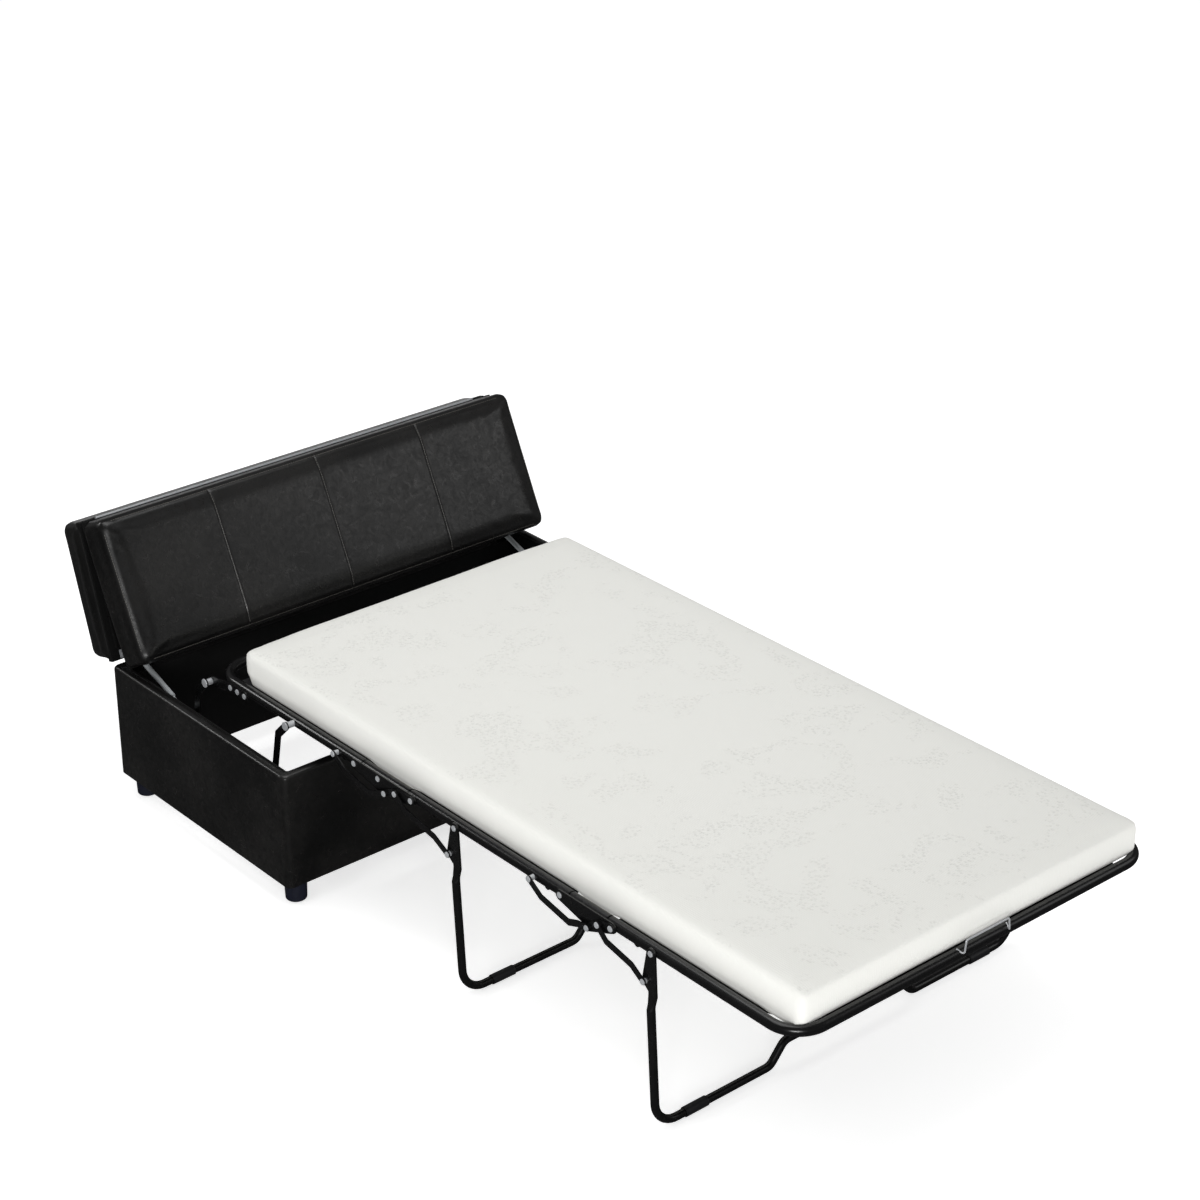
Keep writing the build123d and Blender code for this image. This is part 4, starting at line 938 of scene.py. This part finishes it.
class OTTOMAN_OT_mattress(bpy.types.Operator):
    """Makes the mattress and cuts it where it changes from one bending zone to the next"""
    bl_idname = "ottoman.mattress"
    bl_label = "Mattress"

    def execute(self, context):
        settings = context.scene.ottoman_mattress
        low = BED_LOW - Vector((MATTRESS_SIDE, 0, 0))
        high = BED_HIGH + Vector((MATTRESS_SIDE, MATTRESS_HEAD, 0))
        size = high - low - Vector((2 * MATTRESS_SWELL, 2 * MATTRESS_SWELL, MATTRESS_SWELL))
        centre = Vector(((low.x + high.x) / 2, (low.y + high.y) / 2, low.z + size.z / 2))
        piece = add_cube("mattress_body", size, centre)
        bevel_edges(piece, lambda a, b: upright(a, b) and a.y > 0, settings.corner, MATTRESS_CORNER_STEPS)
        bevel_edges(piece, lambda a, b: upright(a, b) and a.y < low.y + FOOT_BAND,
                    settings.foot_corner, MATTRESS_EDGE_STEPS)
        bevel_edges(piece, level_at(low.z + size.z), settings.rim, MATTRESS_EDGE_STEPS)
        remeshed(piece, MATTRESS_VOXEL)
        inflated(piece, MATTRESS_PRESSURE, MATTRESS_CAP, lambda p: p.z < low.z + MATTRESS_HELD,
                 MATTRESS_FRAMES)
        subdivided(piece, 1)
        for vertex in piece.data.vertices:
            point = vertex.co
            point.x = min(max(point.x, low.x), high.x)
            point.y = min(max(point.y, low.y), high.y)
            point.z = min(max(point.z, low.z, self.seat(point)), high.z + MATTRESS_CROWN)
            point.z -= self.sag(point)
        smooth(piece, KNIT_SMOOTH)
        dress(piece, knit_ticking())
        self.divide(piece)
        return {"FINISHED"}

    def sag(self, point):
        """How far the soft underside hangs between two deck cloths, fading up the side."""
        share = max(0.0, 1 - (point.z - BED_LOW.z) / SAG_HEIGHT)
        for start, end in DECK_GAPS:
            if start < point.y < end:
                along = (point.y - start) / (end - start)
                return SAG * share * min(1.0, SAG_SLOPE * along, SAG_SLOPE * (1 - along))
        return 0.0

    def seat(self, point):
        """The height of the foot tube's top under a point, or of the deck where there is no tube."""
        radius = (TUBE_HIGH.z - TUBE_LOW.z) / 2
        axis = (TUBE_HIGH.z + TUBE_LOW.z) / 2
        corner_x = TUBE_HIGH.x - radius - LOOP_CORNER
        corner_y = TUBE_LOW.y + radius + LOOP_CORNER
        if point.y > corner_y:
            return BED_LOW.z
        out = Vector((max(abs(point.x) - corner_x, 0.0), point.y - corner_y))
        inside = LOOP_CORNER - out.length
        touch = radius + TUBE_CLEARANCE
        if inside > touch:
            return BED_LOW.z
        return axis + math.sqrt(touch ** 2 - max(inside, 0.0) ** 2)

    def divide(self, piece):
        """Cuts the mattress across, midway between hinge lines, into four parts."""
        cuts = [None] + [(near + far) / 2 for near, far in zip(BED_HINGES, BED_HINGES[1:])] + [None]
        for index, name in enumerate(("mattress_head", "mattress_upper", "mattress_lower", "mattress_foot")):
            part = twin(piece, name)
            for place, keep_above in ((cuts[index], False), (cuts[index + 1], True)):
                if place is not None:
                    self.cut_off(part, place, keep_above)
            smooth(part, KNIT_SMOOTH)
            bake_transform(part)
            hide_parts("mattress")
        bpy.data.objects.remove(piece)

    def cut_off(self, part, place, keep_above):
        """Cuts a part across at a place along the bed and closes the cut."""
        activate(part)
        bpy.ops.object.mode_set(mode="EDIT")
        bpy.ops.mesh.select_all(action="SELECT")
        bpy.ops.mesh.bisect(plane_co=(0, place, 0), plane_no=(0, 1, 0), use_fill=True,
                            clear_inner=keep_above, clear_outer=not keep_above)
        bpy.ops.object.mode_set(mode="OBJECT")


class OTTOMAN_OT_deck(bpy.types.Operator):
    """Makes the woven cloths that carry the mattress"""
    bl_idname = "ottoman.deck"
    bl_label = "Deck Cloths"

    def execute(self, context):
        for name, node, body, rail in (("head_cloth", "head_deck", "head", "head_loop"),
                                       ("middle_cloth", "middle_deck", "middle", "middle_rails"),
                                       ("foot_cloth", "foot_deck", "foot", "foot_loop")):
            low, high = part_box(node)
            size = high - low
            deselect()
            bpy.ops.mesh.primitive_grid_add(x_subdivisions=DECK_GRID[0], y_subdivisions=DECK_GRID[1],
                                            size=1, location=(low + high) / 2)
            piece = named(name)
            piece.scale = (size.x, size.y, 1)
            bpy.ops.object.transform_apply(location=True, rotation=True, scale=True)
            self.slacken(piece, high)
            if node == "foot_deck":
                self.cut_corners(piece, low, high)
            solidified(piece, DECK_THICK, 0)
            smooth(piece, DECK_SMOOTH)
            dress(piece, woven_deck())
            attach(piece, body)
            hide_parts(node)
        return {"FINISHED"}

    def slacken(self, piece, high):
        """Lets a cloth hang a little between its side rails, with faint ripples."""
        for vertex in piece.data.vertices:
            point = vertex.co
            slack = 1.0 - (abs(point.x) / high.x) ** 4
            ripple = RIPPLE * math.sin(point.y * RIPPLES_ALONG) * math.sin(point.x * RIPPLES_ACROSS)
            point.z = high.z - DECK_DROP - DECK_SLACK * slack + ripple

    def cut_corners(self, piece, low, high):
        """Draws the foot cloth in at its foot corners, clear of the tube's bends."""
        for vertex in piece.data.vertices:
            point = vertex.co
            room = high.x - max(0.0, DECK_CORNER - (point.y - low.y) * DECK_CORNER_SLOPE)
            if abs(point.x) > room:
                point.x = math.copysign(room, point.x)


class OTTOMAN_OT_stage(bpy.types.Operator):
    """Makes the floor, the studio light and the camera"""
    bl_idname = "ottoman.stage"
    bl_label = "Stage"

    def execute(self, context):
        settings = context.scene.ottoman_stage
        deselect()
        bpy.ops.mesh.primitive_plane_add(size=FLOOR_SIZE, location=(0, 0, -FLOOR_DROP))
        floor = named("floor")
        dress(floor, self.ground(settings.ground))
        self.world(context)
        self.lamps()
        view = Vector(settings.forward).normalized()
        deselect()
        bpy.ops.object.camera_add(location=Vector(settings.camera) + Vector((0, FRONT, 0)))
        camera = context.object
        camera.rotation_euler = view.to_track_quat("-Z", "Y").to_euler()
        camera.data.lens = settings.lens
        camera.data.sensor_width = SENSOR
        camera.data.clip_end = VIEW_LIMIT
        context.scene.camera = camera
        context.scene.view_settings.view_transform = "Standard"
        return {"FINISHED"}

    def ground(self, colour):
        """Pale to the camera, with the shadows it catches, and dark in reflections."""
        made, tree, _ = new_material("studio_floor")
        pale = add_node(tree, "ShaderNodeBsdfPrincipled",
                        {"Base Color": linear(colour), "Roughness": 0.9, "Specular IOR Level": 0.0,
                         "Emission Color": (1, 1, 1, 1), "Emission Strength": 0.62})
        dark = add_node(tree, "ShaderNodeBsdfDiffuse", {"Color": linear("#484848")})
        rays = add_node(tree, "ShaderNodeLightPath")
        both = add_node(tree, "ShaderNodeMixShader", {},
                        {0: rays.outputs["Is Glossy Ray"], 1: pale.outputs[0], 2: dark.outputs[0]})
        return finished(made, both)

    def world(self, context):
        """White to the camera, plain grey as a light and darker in reflections."""
        world = bpy.data.worlds.new("studio_world")
        context.scene.world = world
        world.use_nodes = True
        tree = world.node_tree
        tree.nodes.clear()
        rays = add_node(tree, "ShaderNodeLightPath")
        lit = add_node(tree, "ShaderNodeBackground", {"Color": (1, 1, 1, 1), "Strength": 0.42})
        seen = add_node(tree, "ShaderNodeBackground", {"Color": (1, 1, 1, 1), "Strength": 1.0})
        gloss = add_node(tree, "ShaderNodeBackground", {"Color": (1, 1, 1, 1), "Strength": 0.1})
        unseen = add_node(tree, "ShaderNodeMixShader", {},
                          {0: rays.outputs["Is Glossy Ray"], 1: lit.outputs[0], 2: gloss.outputs[0]})
        both = add_node(tree, "ShaderNodeMixShader", {},
                        {0: rays.outputs["Is Camera Ray"], 1: unseen.outputs[0], 2: seen.outputs[0]})
        add_node(tree, "ShaderNodeOutputWorld", {}, {"Surface": both.outputs[0]})

    def lamps(self):
        """Soft boxes, each with its place, its width and height in metres, and its watts."""
        for name, place, size, power in (
            ("overhead", (-0.3, 0.2, 3.8), (3.2, 2.4), 56.0),
            ("front_fill", (-3.6, -4.2, 1.5), (1.6, 0.9), 85.0),
            ("face_softbox", (3.4, -3.0, 2.6), (2.2, 1.8), 15.0),
            ("back_strip", (2.0, 4.4, 0.7), (3.4, 0.9), 8.0),
            ("back_left", (-2.2, 3.6, 2.9), (1.0, 0.7), 26.0),
        ):
            deselect()
            bpy.ops.object.light_add(type="AREA", location=place)
            lamp = bpy.context.object
            lamp.name = name
            lamp.data.shape = "RECTANGLE"
            lamp.data.size, lamp.data.size_y = size
            lamp.data.energy = power
            lamp.visible_camera = False
            aim = LAMP_AIM - Vector(place)
            lamp.rotation_euler = aim.to_track_quat("-Z", "Y").to_euler()


class OTTOMAN_PT_panel(bpy.types.Panel):
    """The guest bed's pieces and settings"""
    bl_label = "Guest Bed"
    bl_idname = "OTTOMAN_PT_panel"
    bl_space_type = "VIEW_3D"
    bl_region_type = "UI"
    bl_category = "Guest Bed"

    def draw(self, context):
        for group_name in GROUPS:
            group = getattr(context.scene, group_name)
            box = self.layout.box()
            for name in group.__annotations__:
                box.prop(group, name)
        for step in STEPS:
            self.layout.operator("ottoman." + step)


STEPS = ("finishes", "lid_cushions", "base_cover", "mattress", "deck", "stage")
GROUPS = {
    "ottoman_leather": OttomanLeatherSettings,
    "ottoman_mattress": OttomanMattressSettings,
    "ottoman_finish": OttomanFinishSettings,
    "ottoman_stage": OttomanStageSettings,
}
OPERATORS = (OTTOMAN_OT_finishes, OTTOMAN_OT_lid_cushions, OTTOMAN_OT_base_cover, OTTOMAN_OT_mattress,
             OTTOMAN_OT_deck, OTTOMAN_OT_stage)


def register():
    for name, group in GROUPS.items():
        bpy.utils.register_class(group)
        setattr(bpy.types.Scene, name, bpy.props.PointerProperty(type=group))
    for operator in OPERATORS:
        bpy.utils.register_class(operator)
    bpy.utils.register_class(OTTOMAN_PT_panel)


def unregister():
    bpy.utils.unregister_class(OTTOMAN_PT_panel)
    for operator in reversed(OPERATORS):
        bpy.utils.unregister_class(operator)
    for name, group in GROUPS.items():
        delattr(bpy.types.Scene, name)
        bpy.utils.unregister_class(group)


def main():
    register()
    for step in STEPS:
        getattr(bpy.ops.ottoman, step)()


if __name__ == "__main__":
    main()
